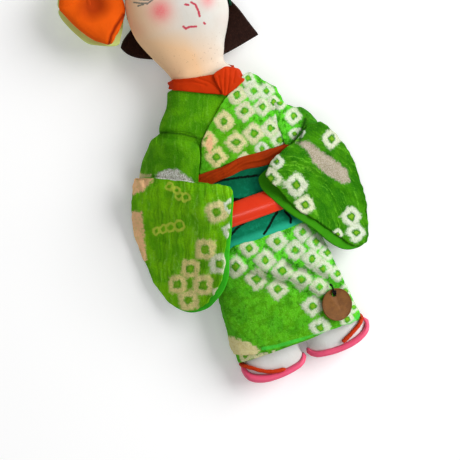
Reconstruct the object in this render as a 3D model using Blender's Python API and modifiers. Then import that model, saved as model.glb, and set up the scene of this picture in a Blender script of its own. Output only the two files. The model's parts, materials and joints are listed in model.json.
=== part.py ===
"""A cloth doll in a kimono, lying on its back, built from separate stuffed and sewn pieces.

+Y runs from the soles to the head, +Z out of the doll's front and +X to the doll's left.
The origin is the middle of the obi knot's flat back, which rests on the floor. Every
height along the doll is first counted from the soles, and one root empty shifts them all.
"""

import math

import bmesh
import bpy
import numpy as np
from mathutils import Matrix, Vector

# Heights along the doll, in metres
SOLE_TO_HEM = 0.0158
HEM_TO_OBI = 0.0557
OBI_HEIGHT = 0.033
OBIAGE_HEIGHT = 0.0058
OBI_TO_SHOULDER = 0.034
SHOULDER_TO_NECKLINE = 0.016
NECKLINE_TO_HEAD = 0.0085
HEAD_LENGTH = 0.058

# The cloth and the room between neighbours
CLOTH = 0.0012
GAP = 0.0003

# The stuffed body under the kimono: its widths and depths at each height, halved
HEM_HALF_WIDTH = 0.031
WAIST_HALF_WIDTH = 0.0255
CHEST_HALF_WIDTH = 0.0285
SHOULDER_HALF_WIDTH = 0.0272
NECK_SLOPE_HALF_WIDTH = 0.0213
NECKLINE_HALF_WIDTH = 0.0177
COLLAR_HALF_WIDTH = 0.0151
HEM_HALF_DEPTH = 0.0098
BODY_HALF_DEPTH = 0.0095
NECKLINE_HALF_DEPTH = 0.009
COLLAR_HALF_DEPTH = 0.0082
BODY_SQUARENESS = 2.4
SKIRT_SIDE_RISE = 0.005
CHEST_SHARE = 0.7
NECK_SLOPE_SHARE = 0.53
HIP_SINK = 0.0024
TORSO_ROUNDING_SHARE = 0.12
FOLD_RISE = 0.0014
FOLD_WIDTH = 0.009
FOLD_FADE_SHARE = 0.4
FOLD_FULL_SHARE = 0.62

# The obi knot and what is tied round the waist
KNOT_WIDTH = 0.042
KNOT_THICKNESS = 0.0048
KNOT_ROUNDING = 0.0012
KNOT_TAIL_WIDTH = 0.03
KNOT_TAIL_LENGTH = 0.012
KNOT_TAIL_THICKNESS = 0.003
OBI_THICKNESS = 0.0016
OBI_CLOTH_LAP = 0.005
OBIAGE_THICKNESS = 0.0016
OBIAGE_PUFF = 0.0008
CORD_WIDTH = 0.0108
CORD_THICKNESS = 0.002
CORD_PUFF = 0.0008
CORD_RISE_SHARE = 0.45

# The head, the neck and the hair
NECK_HALF_WIDTH = 0.0162
NECK_HALF_DEPTH = 0.0084
NECK_BALL_GAP = 0.0006
HEAD_HALF_WIDTH = 0.0254
HEAD_HALF_DEPTH = 0.0165
HEAD_MIDDLE_RAISE = 0.001
HEAD_SQUARENESS = 2.2
FELT = 0.0014
LEFT_HAIR_REACH = 0.0345
RIGHT_HAIR_REACH = 0.0455
HAIR_FLARE_SHARE = 0.5
HAIR_BACK_SHARE = 0.92
HAIR_CAP_SHARE = 0.78
HEADBAND_WIDTH = 0.005
HEADBAND_THICKNESS = 0.0012
HEADBAND_SET_BACK = 0.0048
HEADBAND_DROP_SHARE = 0.06
HAIR_FLARE_START_SHARE = 0.6
HEAD_RAISE_SHARE = 0.33
NECK_BALL_ROWS_SHARE = 0.62
NECK_END_SHARE = 0.15

# The bow at the doll's right temple
BOW_HALF_WIDTH = 0.016
BOW_LOOP_LENGTH = 0.022
BOW_THICKNESS = 0.008
BOW_LINING_SHOW = 0.0022
BOW_KNOT_RADIUS = 0.0036
BOW_KNOT_FLATNESS_SHARE = 0.6
BOW_HEIGHT_SHARE = 0.81
CLOTH_SQUARENESS = 2.4

# The sleeves and the arms in them
SLEEVE_REACH = 0.06
SLEEVE_BELOW_OBI = 0.0245
SLEEVE_LENGTH = 0.073
SLEEVE_DEPTH = 0.0105
SLEEVE_SEAM_THICKNESS = 0.0022
LINING = 0.001
FOREARM_HALF_WIDTH = 0.0042
FOREARM_THICKNESS = 0.0046
FOREARM_EASE = 0.0095
DRAPE_BREAK_SHARE = 0.88
DRAPE_SLOPE_SHARE = 0.75
SLEEVE_SWELL_SHARE = 1.6
FOREARM_END_SHARE = 0.08
FOREARM_BLUNTNESS_SHARE = 0.4

# The legs, the sandals and the tag
FOOT_LENGTH = 0.0305
FOOT_HALF_DEPTH = 0.0066
FOOT_MIDDLE_Z = 0.0092
HIP_DROP = 0.0215
LEG_PARTING = 0.0008
SOLE_THICKNESS = 0.0026
SOLE_OVERHANG = 0.0012
STRAP_RADIUS = 0.0009
STRAP_TURNS = {-1: math.radians(101), 1: math.radians(78)}
STRAP_TOP_SHARE = 0.28
STRAP_BEND = 1.3
LEFT_FOOT_SHIFT = 0.0014
LEFT_TOE_STRETCH = 0.06
LEFT_TOE_SHIFT = 0.0013
RIGHT_HEEL_SHIFT = 0.0007
TOE_TOP_SHARE = 1.0
TOE_FADE_SHARE = 0.35
LEFT_FOOT_LIFT = 0.0015
LEFT_TOE_RISE = 0.001
LEG_CLEARANCE = 0.0016
FOOT_SQUARENESS = 2.3
SOLE_SQUARENESS = 4
SOLE_RISE_SHARE = 0.87
SOLE_FLAT_SHARE = 0.6
SOLE_TIP_SHARE = 0.55
TAG_X = 0.0242
TAG_Y = 0.027
TAG_RADIUS = 0.0077
TAG_THICKNESS = 0.001
TAG_HOLE_RADIUS = 0.0012
TAG_HOLE_INSET = 0.0024
THREAD_RADIUS = 0.00045

# Small lengths used only in the working
SHORT_RUN = 0.00001
OVERRUN = 0.001

# Heights counted from the soles
HEM_Y = SOLE_TO_HEM
OBI_BOTTOM_Y = HEM_Y + HEM_TO_OBI
OBI_TOP_Y = OBI_BOTTOM_Y + OBI_HEIGHT
OBI_MIDDLE_Y = OBI_BOTTOM_Y + OBI_HEIGHT / 2
OBIAGE_TOP_Y = OBI_TOP_Y + GAP + OBIAGE_HEIGHT
SHOULDER_Y = OBI_TOP_Y + OBI_TO_SHOULDER
NECKLINE_Y = SHOULDER_Y + SHOULDER_TO_NECKLINE
HEAD_Y = NECKLINE_Y + NECKLINE_TO_HEAD
CHEST_Y = OBI_TOP_Y + OBI_TO_SHOULDER * CHEST_SHARE
NECK_SLOPE_Y = SHOULDER_Y + SHOULDER_TO_NECKLINE * NECK_SLOPE_SHARE
SLEEVE_BOTTOM_Y = OBI_BOTTOM_Y - SLEEVE_BELOW_OBI

# Layers outward from the stuffed body: each is the distance to the middle of a sheet
LAYER = GAP + CLOTH
FIRST_LAYER = GAP + CLOTH / 2
SECOND_LAYER = FIRST_LAYER + LAYER
THIRD_LAYER = SECOND_LAYER + LAYER
OBI_LAYER = LAYER + GAP + OBI_THICKNESS / 2
OBIAGE_LAYER = LAYER + GAP + OBIAGE_THICKNESS / 2
OBI_FACE = OBI_LAYER + OBI_THICKNESS / 2
OBIAGE_FACE = OBIAGE_LAYER + OBIAGE_THICKNESS / 2 + OBIAGE_PUFF
CORD_LAYER = OBI_FACE + GAP + CORD_THICKNESS / 2
CORD_FACE = CORD_LAYER + CORD_THICKNESS / 2 + CORD_PUFF
BODY_MIDDLE_Z = KNOT_THICKNESS + GAP * 2 + OBI_FACE + BODY_HALF_DEPTH
HEM_MIDDLE_Z = HEM_HALF_DEPTH + LAYER + GAP

# Joint axes, each through the point where its piece is sewn on
NECK_PIVOT = Vector((0, NECKLINE_Y - NECK_HALF_DEPTH / 2, BODY_MIDDLE_Z))
HEAD_PIVOT = Vector((0, HEAD_Y, BODY_MIDDLE_Z))
HIP_PIVOT = Vector((0, OBI_BOTTOM_Y - HIP_DROP, BODY_MIDDLE_Z - HIP_SINK))

# Outlines as shares, chosen by hand from the photograph. Each row of an outline that runs
# down a piece holds (left across, left along, right across, right along).
HEAD_SHARES = (
    (0.0, -0.65, 0.62, 0.52),
    (0.05, -0.7, 0.62, 0.56),
    (0.12, -0.77, 0.68, 0.64),
    (0.22, -0.87, 0.82, 0.78),
    (0.33, -0.96, 0.93, 0.9),
    (0.44, -1.01, 0.98, 0.98),
    (0.56, -1.01, 0.99, 1.0),
    (0.68, -0.97, 0.97, 0.98),
    (0.78, -0.88, 0.9, 0.88),
    (0.87, -0.73, 0.77, 0.7),
    (0.94, -0.53, 0.59, 0.48),
    (0.98, -0.32, 0.38, 0.28),
    (1.0, -0.12, 0.18, 0.12),
)
LEG_SHARES = (
    (0.093, 0.6, 0.24, 0.7),
    (0.108, 0.78, 0.11, 0.89),
    (0.14, 0.88, 0.045, 0.97),
    (0.18, 0.925, 0.015, 1.0),
    (0.24, 0.965, 0.008, 0.98),
    (0.3, 0.945, 0.004, 0.95),
    (0.35, 0.85, 0.002, 0.92),
    (0.42, 0.72, 0.0, 0.92),
    (0.54, 0.645, 0.0, 0.95),
    (0.76, 0.63, 0.004, 0.98),
    (1.0, 0.63, 0.01, 1.0),
    (1.08, 0.6, 0.045, 0.79),
    (1.126, 0.51, 0.125, 0.3),
)
SOLE_SHARES = (
    (-0.03, 0.2, 0.35),
    (0.05, 0.08, 0.8),
    (0.25, 0.02, 1.0),
    (0.47, 0.0, 1.03),
    (0.7, 0.02, 1.02),
    (0.88, 0.09, 0.9),
    (0.99, 0.19, 0.68),
    (1.03, 0.34, 0.2),
)
RIGHT_UPPER_SLEEVE_SHARES = (
    (-0.51, 1.25, -0.47, 1.235),
    (-0.575, 1.215, -0.37, 1.205),
    (-0.64, 1.17, -0.25, 1.15),
    (-0.71, 1.11, -0.215, 1.09),
    (-0.775, 1.035, -0.245, 0.99),
    (-0.825, 0.95, -0.295, 0.89),
    (-0.855, 0.86, -0.34, 0.81),
    (-0.84, 0.78, -0.41, 0.755),
)
LEFT_UPPER_SLEEVE_SHARES = (
    (0.56, 1.15, 0.6, 1.145),
    (0.545, 1.1, 0.69, 1.095),
    (0.54, 1.04, 0.75, 1.02),
    (0.545, 0.97, 0.8, 0.94),
    (0.545, 0.9, 0.85, 0.87),
    (0.56, 0.84, 0.87, 0.81),
    (0.6, 0.78, 0.86, 0.76),
)
RIGHT_FRONT_SHARES = (
    (-0.825, 1.0, -0.79, 0.995),
    (-0.885, 0.91, -0.55, 0.905),
    (-0.94, 0.795, -0.31, 0.8),
    (-0.977, 0.7, -0.105, 0.725),
    (-0.995, 0.575, -0.155, 0.6),
    (-0.987, 0.45, -0.225, 0.465),
    (-0.977, 0.33, -0.325, 0.335),
    (-0.95, 0.205, -0.375, 0.225),
    (-0.9, 0.11, -0.455, 0.135),
    (-0.825, 0.045, -0.55, 0.07),
    (-0.74, 0.012, -0.64, 0.025),
)
RIGHT_LINING_SHARES = (
    (-0.82, 0.985, -0.77, 0.975),
    (-0.88, 0.9, -0.54, 0.885),
    (-0.935, 0.79, -0.3, 0.78),
    (-0.972, 0.695, -0.09, 0.715),
    (-0.99, 0.57, -0.145, 0.59),
    (-0.982, 0.445, -0.21, 0.455),
    (-0.972, 0.325, -0.295, 0.32),
    (-0.945, 0.2, -0.34, 0.205),
    (-0.895, 0.1, -0.42, 0.105),
    (-0.82, 0.03, -0.525, 0.035),
    (-0.73, 0.0, -0.62, 0.0),
)
LEFT_FRONT_SHARES = (
    (0.675, 0.94, 0.8, 0.93),
    (0.565, 0.87, 0.86, 0.855),
    (0.4, 0.825, 0.9, 0.78),
    (0.21, 0.735, 0.942, 0.68),
    (0.253, 0.61, 0.963, 0.57),
    (0.317, 0.49, 0.95, 0.45),
    (0.39, 0.39, 0.943, 0.34),
    (0.483, 0.3, 0.92, 0.245),
    (0.567, 0.205, 0.883, 0.15),
    (0.64, 0.125, 0.85, 0.08),
    (0.7, 0.06, 0.783, 0.045),
)
LEFT_LINING_SHARES = (
    (0.695, 0.92, 0.79, 0.915),
    (0.58, 0.855, 0.85, 0.845),
    (0.37, 0.79, 0.893, 0.775),
    (0.13, 0.705, 0.935, 0.67),
    (0.167, 0.595, 0.957, 0.56),
    (0.233, 0.49, 0.943, 0.45),
    (0.31, 0.39, 0.937, 0.34),
    (0.4, 0.3, 0.913, 0.245),
    (0.47, 0.21, 0.88, 0.145),
    (0.54, 0.115, 0.84, 0.075),
    (0.65, 0.045, 0.767, 0.035),
)
RIGHT_FOREARM_SHARES = ((-0.82, 0.83), (-0.64, 0.77), (-0.42, 0.71), (-0.23, 0.67))
LEFT_FOREARM_SHARES = ((0.82, 0.79), (0.66, 0.75), (0.48, 0.71), (0.31, 0.67))
BOW_LOOP_SHARES = (
    (0.0, -0.94, 0.97, 0.45),
    (0.15, -0.78, 1.0, 0.75),
    (0.4, -0.6, 0.98, 1.0),
    (0.6, -0.42, 0.94, 0.95),
    (0.75, -0.27, 0.83, 0.85),
    (0.87, -0.11, 0.68, 0.7),
    (0.95, 0.03, 0.45, 0.5),
    (1.0, 0.12, 0.28, 0.25),
)

# The back hair's lower edge, from the doll's right to its left, in shares of the head's length
HAIR_HEM_SHARES = ((0.0, 0.385), (0.1, 0.26), (0.3, 0.08), (0.5, 0.03), (0.8, 0.02), (1.0, 0.075))

# Kimono edges: the front panel's free edge at each height, and hems across the front
PANEL_SIDE_TURN = math.radians(-18)
SKIRT_PANEL_TURNS = (math.radians(185.4), math.radians(-21.6))
BODICE_EDGE_SHARES = ((0.0, -0.61), (0.25, -0.49), (0.5, -0.36), (0.73, -0.1), (0.87, 0.07), (1.0, 0.24))
PANEL_TOP_SHARES = ((0.0, 0.19), (0.2, 0.4), (0.4, 0.65), (0.6, 0.72), (1.0, 0.7))
SKIRT_HEM_SHARES = ((0.0, 0.12), (0.3, 0.03), (0.62, 0.005), (0.8, 0.0), (1.0, 0.09))

# The skirt's diagonal fold: where it lies across the front at each height
FOLD_SHARES = ((0.31, 0.71), (0.61, 0.0), (1.0, -0.55))
RIGHT_COLLAR_SHARES = (
    (0.0, 1.16, 1.42),
    (0.35, 1.13, 1.41),
    (0.55, 1.08, 1.38),
    (0.7, 0.96, 1.28),
    (0.85, 0.7, 1.14),
    (1.0, 0.26, 1.0),
)
LEFT_COLLAR_SHARES = (
    (0.0, 1.16, 1.42),
    (0.4, 1.12, 1.4),
    (0.6, 0.85, 1.3),
    (0.75, 0.6, 1.2),
    (0.88, 0.4, 1.12),
    (1.0, 0.22, 1.0),
)
COLLAR_START_SHARE = 0.94
RIGHT_CROSSING_SHARE = 0.075
LEFT_CROSSING_SHARE = -0.05

# Colours of the cloths, in linear light, with roughness and metallic value
GREEN = ((0.08, 0.30, 0.01), 0.85, 0.0)
KANOKO = ((0.20, 0.42, 0.10), 0.85, 0.0)
LINING_GREEN = ((0.06, 0.55, 0.04), 0.8, 0.0)
TEAL = ((0.01, 0.20, 0.12), 0.75, 0.0)
OBIAGE_RED = ((0.50, 0.07, 0.01), 0.8, 0.0)
CORD_RED = ((0.80, 0.06, 0.02), 0.25, 0.0)
COLLAR_RED = ((0.60, 0.05, 0.01), 0.8, 0.0)
SKIN = ((0.82, 0.72, 0.60), 0.9, 0.0)
HAIR_BROWN = ((0.03, 0.015, 0.01), 0.7, 0.0)
BAND_GREEN = ((0.01, 0.06, 0.03), 0.8, 0.0)
BOW_ORANGE = ((0.90, 0.15, 0.01), 0.75, 0.0)
LIME = ((0.40, 0.60, 0.15), 0.8, 0.0)
WHITE = ((0.85, 0.83, 0.78), 0.9, 0.0)
STUFFING = ((0.75, 0.70, 0.60), 0.95, 0.0)
SOLE_PINK = ((0.85, 0.15, 0.25), 0.7, 0.0)
STRAP_ORANGE = ((0.60, 0.07, 0.01), 0.7, 0.0)
COPPER = ((0.32, 0.12, 0.05), 0.45, 0.8)
BLACK = ((0.01, 0.01, 0.01), 0.8, 0.0)


def clear_scene():
    for obj in list(bpy.data.objects):
        bpy.data.objects.remove(obj)


def mix(start, end, share):
    return start + (end - start) * share


def smooth(table, at):
    """The value at one place of a curve through the table's rows of (place, value, ...)."""
    if at <= table[0][0]:
        return np.array(table[0][1:])
    for number in range(len(table) - 1):
        if at <= table[number + 1][0]:
            break
    else:
        return np.array(table[-1][1:])
    first = table[number]
    second = table[number + 1]
    span = second[0] - first[0]
    rise = np.subtract(second[1:], first[1:])
    slopes = []
    for middle in (number, number + 1):
        before = table[max(middle - 1, 0)]
        after = table[min(middle + 1, len(table) - 1)]
        slopes.append(np.subtract(after[1:], before[1:]) * span / (after[0] - before[0]))
    share = (at - first[0]) / span
    pull = slopes[0] + slopes[1] - 2 * rise
    bend = rise - slopes[0] - pull
    return np.array(first[1:]) + slopes[0] * share + bend * share**2 + pull * share**3


def smooth_rows(rows, share):
    """The same curve through rows that are evenly spaced from 0 to 1."""
    last = len(rows) - 1
    return smooth([(number / last, *row) for number, row in enumerate(rows)], share)


def rounded(turn, squareness):
    """A point of a unit ring that lies between a circle and a square."""
    across = math.cos(turn)
    front = math.sin(turn)
    power = 2 / squareness
    return math.copysign(abs(across) ** power, across), math.copysign(abs(front) ** power, front)


OBI_TOP_HALF_WIDTH = mix(WAIST_HALF_WIDTH, CHEST_HALF_WIDTH, CHEST_SHARE / 3)
BODY_STATIONS = (
    (HEM_Y, HEM_HALF_WIDTH, HEM_HALF_DEPTH, HEM_MIDDLE_Z),
    (OBI_BOTTOM_Y, WAIST_HALF_WIDTH, BODY_HALF_DEPTH, BODY_MIDDLE_Z),
    (OBI_MIDDLE_Y, WAIST_HALF_WIDTH, BODY_HALF_DEPTH, BODY_MIDDLE_Z),
    (OBI_TOP_Y, OBI_TOP_HALF_WIDTH, BODY_HALF_DEPTH, BODY_MIDDLE_Z),
    (CHEST_Y, CHEST_HALF_WIDTH, BODY_HALF_DEPTH, BODY_MIDDLE_Z),
    (SHOULDER_Y, SHOULDER_HALF_WIDTH, BODY_HALF_DEPTH, BODY_MIDDLE_Z),
    (NECK_SLOPE_Y, NECK_SLOPE_HALF_WIDTH, BODY_HALF_DEPTH, BODY_MIDDLE_Z),
    (NECKLINE_Y, NECKLINE_HALF_WIDTH, NECKLINE_HALF_DEPTH, BODY_MIDDLE_Z),
    (mix(NECKLINE_Y, HEAD_Y, 1 / 3), COLLAR_HALF_WIDTH, COLLAR_HALF_DEPTH, BODY_MIDDLE_Z),
    (HEAD_Y, COLLAR_HALF_WIDTH, COLLAR_HALF_DEPTH, BODY_MIDDLE_Z),
)


def steepness(slope):
    """How much further apart two layers lie, measured level, where they slope."""
    return math.sqrt(1 + slope**2)


def body_point(turn, y, lift):
    """A point at this distance outside the stuffed body, turned from the doll's left over its front."""
    half_width, half_depth, middle = smooth(BODY_STATIONS, y)
    slope = (smooth(BODY_STATIONS, y + OVERRUN)[0] - smooth(BODY_STATIONS, y - OVERRUN)[0]) / OVERRUN / 2
    across, front = rounded(turn, BODY_SQUARENESS)
    return Vector((across * (half_width + lift * steepness(slope)), y, middle + front * (half_depth + lift)))


def body_turn(x, y, lift):
    """The turn at which a layer's front lies over x."""
    reach = smooth(BODY_STATIONS, y)[0] + lift
    share = max(-1, min(1, x / reach))
    return math.acos(math.copysign(abs(share) ** (BODY_SQUARENESS / 2), share))


def body_front(x, y, lift):
    """The height of a layer's front over one place."""
    half_width, half_depth, middle = smooth(BODY_STATIONS, y)
    share = min(abs(x) / (half_width + lift), 1)
    fall = (1 - share**BODY_SQUARENESS) ** (1 / BODY_SQUARENESS)
    return middle + (half_depth + lift) * fall


def drape_height(x, y):
    """What the sleeves lie on: the belly with all that is tied round it, then a straight slope."""
    lift = CORD_FACE + GAP
    edge = DRAPE_BREAK_SHARE * (smooth(BODY_STATIONS, y)[0] + lift)
    beyond = max(abs(x) - edge, 0)
    return body_front(min(abs(x), edge), y, lift) - DRAPE_SLOPE_SHARE * beyond


def drape_level(x, y, lift):
    """The height of a layer at this distance off what the sleeves lie on."""
    slope = (drape_height(x + OVERRUN, y) - drape_height(x - OVERRUN, y)) / OVERRUN / 2
    return drape_height(x, y) + lift * steepness(slope)


def new_material(name, colour, roughness, metallic):
    material = bpy.data.materials.new(name)
    material.use_nodes = True
    shader = material.node_tree.nodes["Principled BSDF"]
    shader.inputs["Base Color"].default_value = (*colour, 1)
    shader.inputs["Roughness"].default_value = roughness
    shader.inputs["Metallic"].default_value = metallic
    return material


def new_pivot(name, place, parent):
    """An empty on a joint's axis, which carries the pieces that turn with it."""
    pivot = bpy.data.objects.new(name, None)
    pivot.empty_display_size = TAG_RADIUS
    bpy.data.collections["cloth_doll"].objects.link(pivot)
    pivot.parent = parent
    pivot.location = place - Vector(parent["place"] if parent else place * 0)
    pivot["place"] = place
    return pivot


def new_object(name, form, finish, pivot):
    """An object of this bmesh, whose points are counted from the soles, on its pivot."""
    bmesh.ops.recalc_face_normals(form, faces=form.faces)
    if form.calc_volume(signed=True) < 0:
        bmesh.ops.reverse_faces(form, faces=form.faces)
    mesh = bpy.data.meshes.new(name)
    form.to_mesh(mesh)
    form.free()
    mesh.transform(Matrix.Translation(-Vector(pivot["place"])))
    mesh.materials.append(new_material(name, *finish))
    mesh.shade_smooth()
    obj = bpy.data.objects.new(name, mesh)
    bpy.data.collections["cloth_doll"].objects.link(obj)
    obj.parent = pivot
    return obj


def ring_form(rows, sides, place):
    """A closed form of rings between two capped ends: place(along, turn) puts each point."""
    form = bmesh.new()
    bmesh.ops.create_uvsphere(form, u_segments=sides, v_segments=rows + 1, radius=1)
    for vertex in form.verts:
        ring = round(math.acos(max(-1, min(1, -vertex.co.z))) * (rows + 1) / math.pi)
        if 0 < ring <= rows:
            vertex.co = place((ring - 1) / (rows - 1), math.atan2(vertex.co.y, vertex.co.x))
            continue
        end = 0 if ring == 0 else 1
        around = [place(end, 2 * math.pi * side / sides) for side in range(sides)]
        vertex.co = sum(around, Vector((0, 0, 0))) / sides
    return form


def stuffed_form(rows, sides, squareness, edges, levels):
    """A stuffed piece: edges(along) gives its two edges, and levels(x, y, along) its back and front."""

    def place(along, turn):
        left_x, left_y, right_x, right_y = edges(along)
        across, up = rounded(turn, squareness)
        x = mix(left_x, right_x, (1 + across) / 2)
        y = mix(left_y, right_y, (1 + across) / 2)
        back, front = levels(x, y, along)
        return Vector((x, y, mix(back, front, (1 + up) / 2)))

    return ring_form(rows, sides, place)


def sheet_form(rows, columns, place):
    """An open sheet: place(across, along) puts each point. Ends that meet are joined."""
    form = bmesh.new()
    bmesh.ops.create_grid(form, x_segments=columns, y_segments=rows, size=0.5)
    for vertex in form.verts:
        vertex.co = place(vertex.co.x + 0.5, vertex.co.y + 0.5)
    bmesh.ops.remove_doubles(form, verts=form.verts, dist=SHORT_RUN)
    return form


def thicken(obj, thickness):
    solidify = obj.modifiers.new("Thickness", "SOLIDIFY")
    solidify.thickness = thickness
    solidify.offset = 0
    return obj


def new_tube(path, radius, name, finish, pivot):
    """A round cord along these points, counted from the soles."""
    curve = bpy.data.curves.new(name, "CURVE")
    curve.dimensions = "3D"
    curve.bevel_depth = radius
    curve.bevel_resolution = 2
    curve.use_fill_caps = True
    spline = curve.splines.new("POLY")
    spline.points.add(len(path) - 1)
    for point, place in zip(spline.points, path):
        point.co = (*(place - Vector(pivot["place"])), 1)
    curve.materials.append(new_material(name, *finish))
    obj = bpy.data.objects.new(name, curve)
    bpy.data.collections["cloth_doll"].objects.link(obj)
    obj.parent = pivot
    return obj


def sleeve_place(row):
    """An outline's row in metres, from shares of the sleeves' reach and length."""
    places = []
    for number, share in enumerate(row):
        places.append(share * SLEEVE_REACH if number % 2 == 0 else SLEEVE_BOTTOM_Y + share * SLEEVE_LENGTH)
    return places


def add_body(root):
    """The stuffed torso, from the hips to the flat seat of the neck."""
    bottom = HIP_PIVOT.y + FOOT_HALF_DEPTH + NECK_BALL_GAP
    top = NECK_PIVOT.y - NECK_HALF_DEPTH - NECK_BALL_GAP

    def place(along, turn):
        y = mix(bottom, top, (1 - math.cos(math.pi * along)) / 2)
        end = min(max(along, TORSO_ROUNDING_SHARE), 1 - TORSO_ROUNDING_SHARE)
        taper = math.sin(math.pi * end) ** 0.25
        point = body_point(turn, y, 0)
        middle = smooth(BODY_STATIONS, y)[2]
        return Vector((point.x * taper, y, mix(middle, point.z, taper)))

    new_object("torso", ring_form(11, 20, place), STUFFING, root)


def add_kimono(root):
    """The bodice and the skirt, each a plain tube with a patterned front panel over it."""

    def bodice(across, along):
        y = mix(OBI_TOP_Y - OBI_CLOTH_LAP, NECKLINE_Y, along)
        return body_point(2 * math.pi * across, y, FIRST_LAYER)

    thicken(new_object("kimono_bodice", sheet_form(10, 32, bodice), GREEN, root), CLOTH)

    def bodice_panel(across, along):
        top = SHOULDER_Y + smooth(PANEL_TOP_SHARES, across)[0] * SHOULDER_TO_NECKLINE
        y = mix(OBIAGE_TOP_Y + GAP, top, along)
        edge = smooth(BODICE_EDGE_SHARES, along)[0]
        start = body_turn(edge * CHEST_HALF_WIDTH, y, SECOND_LAYER)
        return body_point(mix(start, PANEL_SIDE_TURN, across), y, SECOND_LAYER)

    thicken(new_object("bodice_left_panel", sheet_form(8, 12, bodice_panel), KANOKO, root), CLOTH)

    def skirt(across, along):
        turn = 2 * math.pi * across
        hem = HEM_Y + SKIRT_SIDE_RISE * max(math.cos(turn), 0) ** 2
        return body_point(turn, mix(hem, OBI_BOTTOM_Y + OBI_CLOTH_LAP, along), FIRST_LAYER)

    thicken(new_object("kimono_skirt", sheet_form(6, 32, skirt), GREEN, root), CLOTH)

    def fold(x, y):
        """How far the front panel stands off on both sides of its diagonal fold."""
        height = (y - HEM_Y) / HEM_TO_OBI
        beside = abs(x - smooth(FOLD_SHARES, height)[0] * HEM_HALF_WIDTH)
        crest = max(1 - abs(beside / FOLD_WIDTH * 2 - 1), 0)
        fade = min(max((height - FOLD_FADE_SHARE) / (FOLD_FULL_SHARE - FOLD_FADE_SHARE), 0), 1)
        return FOLD_RISE * crest**2 * (3 - 2 * crest) * fade

    def skirt_panel(across, along):
        hem = HEM_Y + smooth(SKIRT_HEM_SHARES, across)[0] * HEM_TO_OBI
        y = mix(hem, OBI_BOTTOM_Y - GAP, along)
        turn = mix(*SKIRT_PANEL_TURNS, across)
        x = body_point(turn, y, SECOND_LAYER).x
        return body_point(turn, y, SECOND_LAYER + fold(x, y) * max(math.sin(turn), 0))

    thicken(new_object("skirt_front_panel", sheet_form(12, 30, skirt_panel), KANOKO, root), CLOTH)


def add_collar(root):
    """The two ends of the inner collar, crossed left over right at the front."""
    for name, rows, layer, crossing, side in (
        ("collar_right", RIGHT_COLLAR_SHARES, SECOND_LAYER, RIGHT_CROSSING_SHARE, -1),
        ("collar_left", LEFT_COLLAR_SHARES, THIRD_LAYER, LEFT_CROSSING_SHARE, 1),
    ):

        def band(across, along, rows=rows, layer=layer, crossing=crossing, side=side):
            low, high = smooth(rows, along)
            y = SHOULDER_Y + mix(low, high, across) * SHOULDER_TO_NECKLINE
            back = -math.pi / 2 * COLLAR_START_SHARE
            front = math.pi * (0.5 + crossing)
            turn = mix(back, front, along)
            point = body_point(turn, y, layer)
            return Vector((point.x * side, point.y, point.z))

        thicken(new_object(name, sheet_form(14, 3, band), COLLAR_RED, root), CLOTH)


def add_waist(root):
    """The obi, the scarf and the flat cord round the waist, and the knot that the doll rests on."""

    def obi(across, along):
        return body_point(2 * math.pi * across, mix(OBI_BOTTOM_Y, OBI_TOP_Y, along), OBI_LAYER)

    thicken(new_object("obi", sheet_form(2, 36, obi), TEAL, root), OBI_THICKNESS)

    def obiage(across, along):
        y = mix(OBI_TOP_Y + GAP, OBIAGE_TOP_Y, along)
        return body_point(2 * math.pi * across, y, OBIAGE_LAYER + OBIAGE_PUFF * math.sin(math.pi * along))

    thicken(new_object("obiage", sheet_form(4, 36, obiage), OBIAGE_RED, root), OBIAGE_THICKNESS)

    def cord(across, along):
        middle = OBI_BOTTOM_Y + OBI_HEIGHT * CORD_RISE_SHARE
        y = middle + CORD_WIDTH * (along - 0.5)
        start = -math.acos((KNOT_WIDTH / 2 + CORD_THICKNESS) / (WAIST_HALF_WIDTH + CORD_FACE))
        lift = CORD_LAYER + CORD_PUFF * math.sin(math.pi * along)
        return body_point(mix(start, math.pi - start, across), y, lift)

    thicken(new_object("obijime", sheet_form(4, 30, cord), CORD_RED, root), CORD_THICKNESS)
    add_block("obi_knot", KNOT_WIDTH, OBI_HEIGHT, KNOT_THICKNESS, OBI_MIDDLE_Y, root)
    tail_y = OBI_BOTTOM_Y - GAP - KNOT_TAIL_LENGTH / 2
    add_block("obi_knot_tail", KNOT_TAIL_WIDTH, KNOT_TAIL_LENGTH, KNOT_TAIL_THICKNESS, tail_y, root)


def add_block(name, width, length, thickness, middle_y, root):
    """A folded length of obi cloth with rounded edges, flat on the floor."""
    form = bmesh.new()
    size = Matrix.Diagonal((width, length, thickness, 1))
    bmesh.ops.create_cube(form, size=1, matrix=Matrix.Translation((0, middle_y, thickness / 2)) @ size)
    block = new_object(name, form, TEAL, root)
    block.data.shade_flat()
    bevel = block.modifiers.new("Rounding", "BEVEL")
    bevel.width = KNOT_ROUNDING
    bevel.segments = 2


def head_section(y):
    """The head's left and right edges and half its depth at one height."""
    left, right, depth = smooth(HEAD_SHARES, (y - HEAD_Y) / HEAD_LENGTH)
    return left * HEAD_HALF_WIDTH, right * HEAD_HALF_WIDTH, depth * HEAD_HALF_DEPTH


def head_middle(y):
    return BODY_MIDDLE_Z + HEAD_MIDDLE_RAISE * min((y - HEAD_Y) / HEAD_LENGTH / HEAD_RAISE_SHARE, 1)


def head_raise(y, lift):
    """A height on the head moved outward from its middle: over the crown a layer lies above it."""
    middle = HEAD_Y + HEAD_LENGTH / 2
    return y + lift * max(y - middle, 0) / (HEAD_LENGTH / 2)


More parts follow.
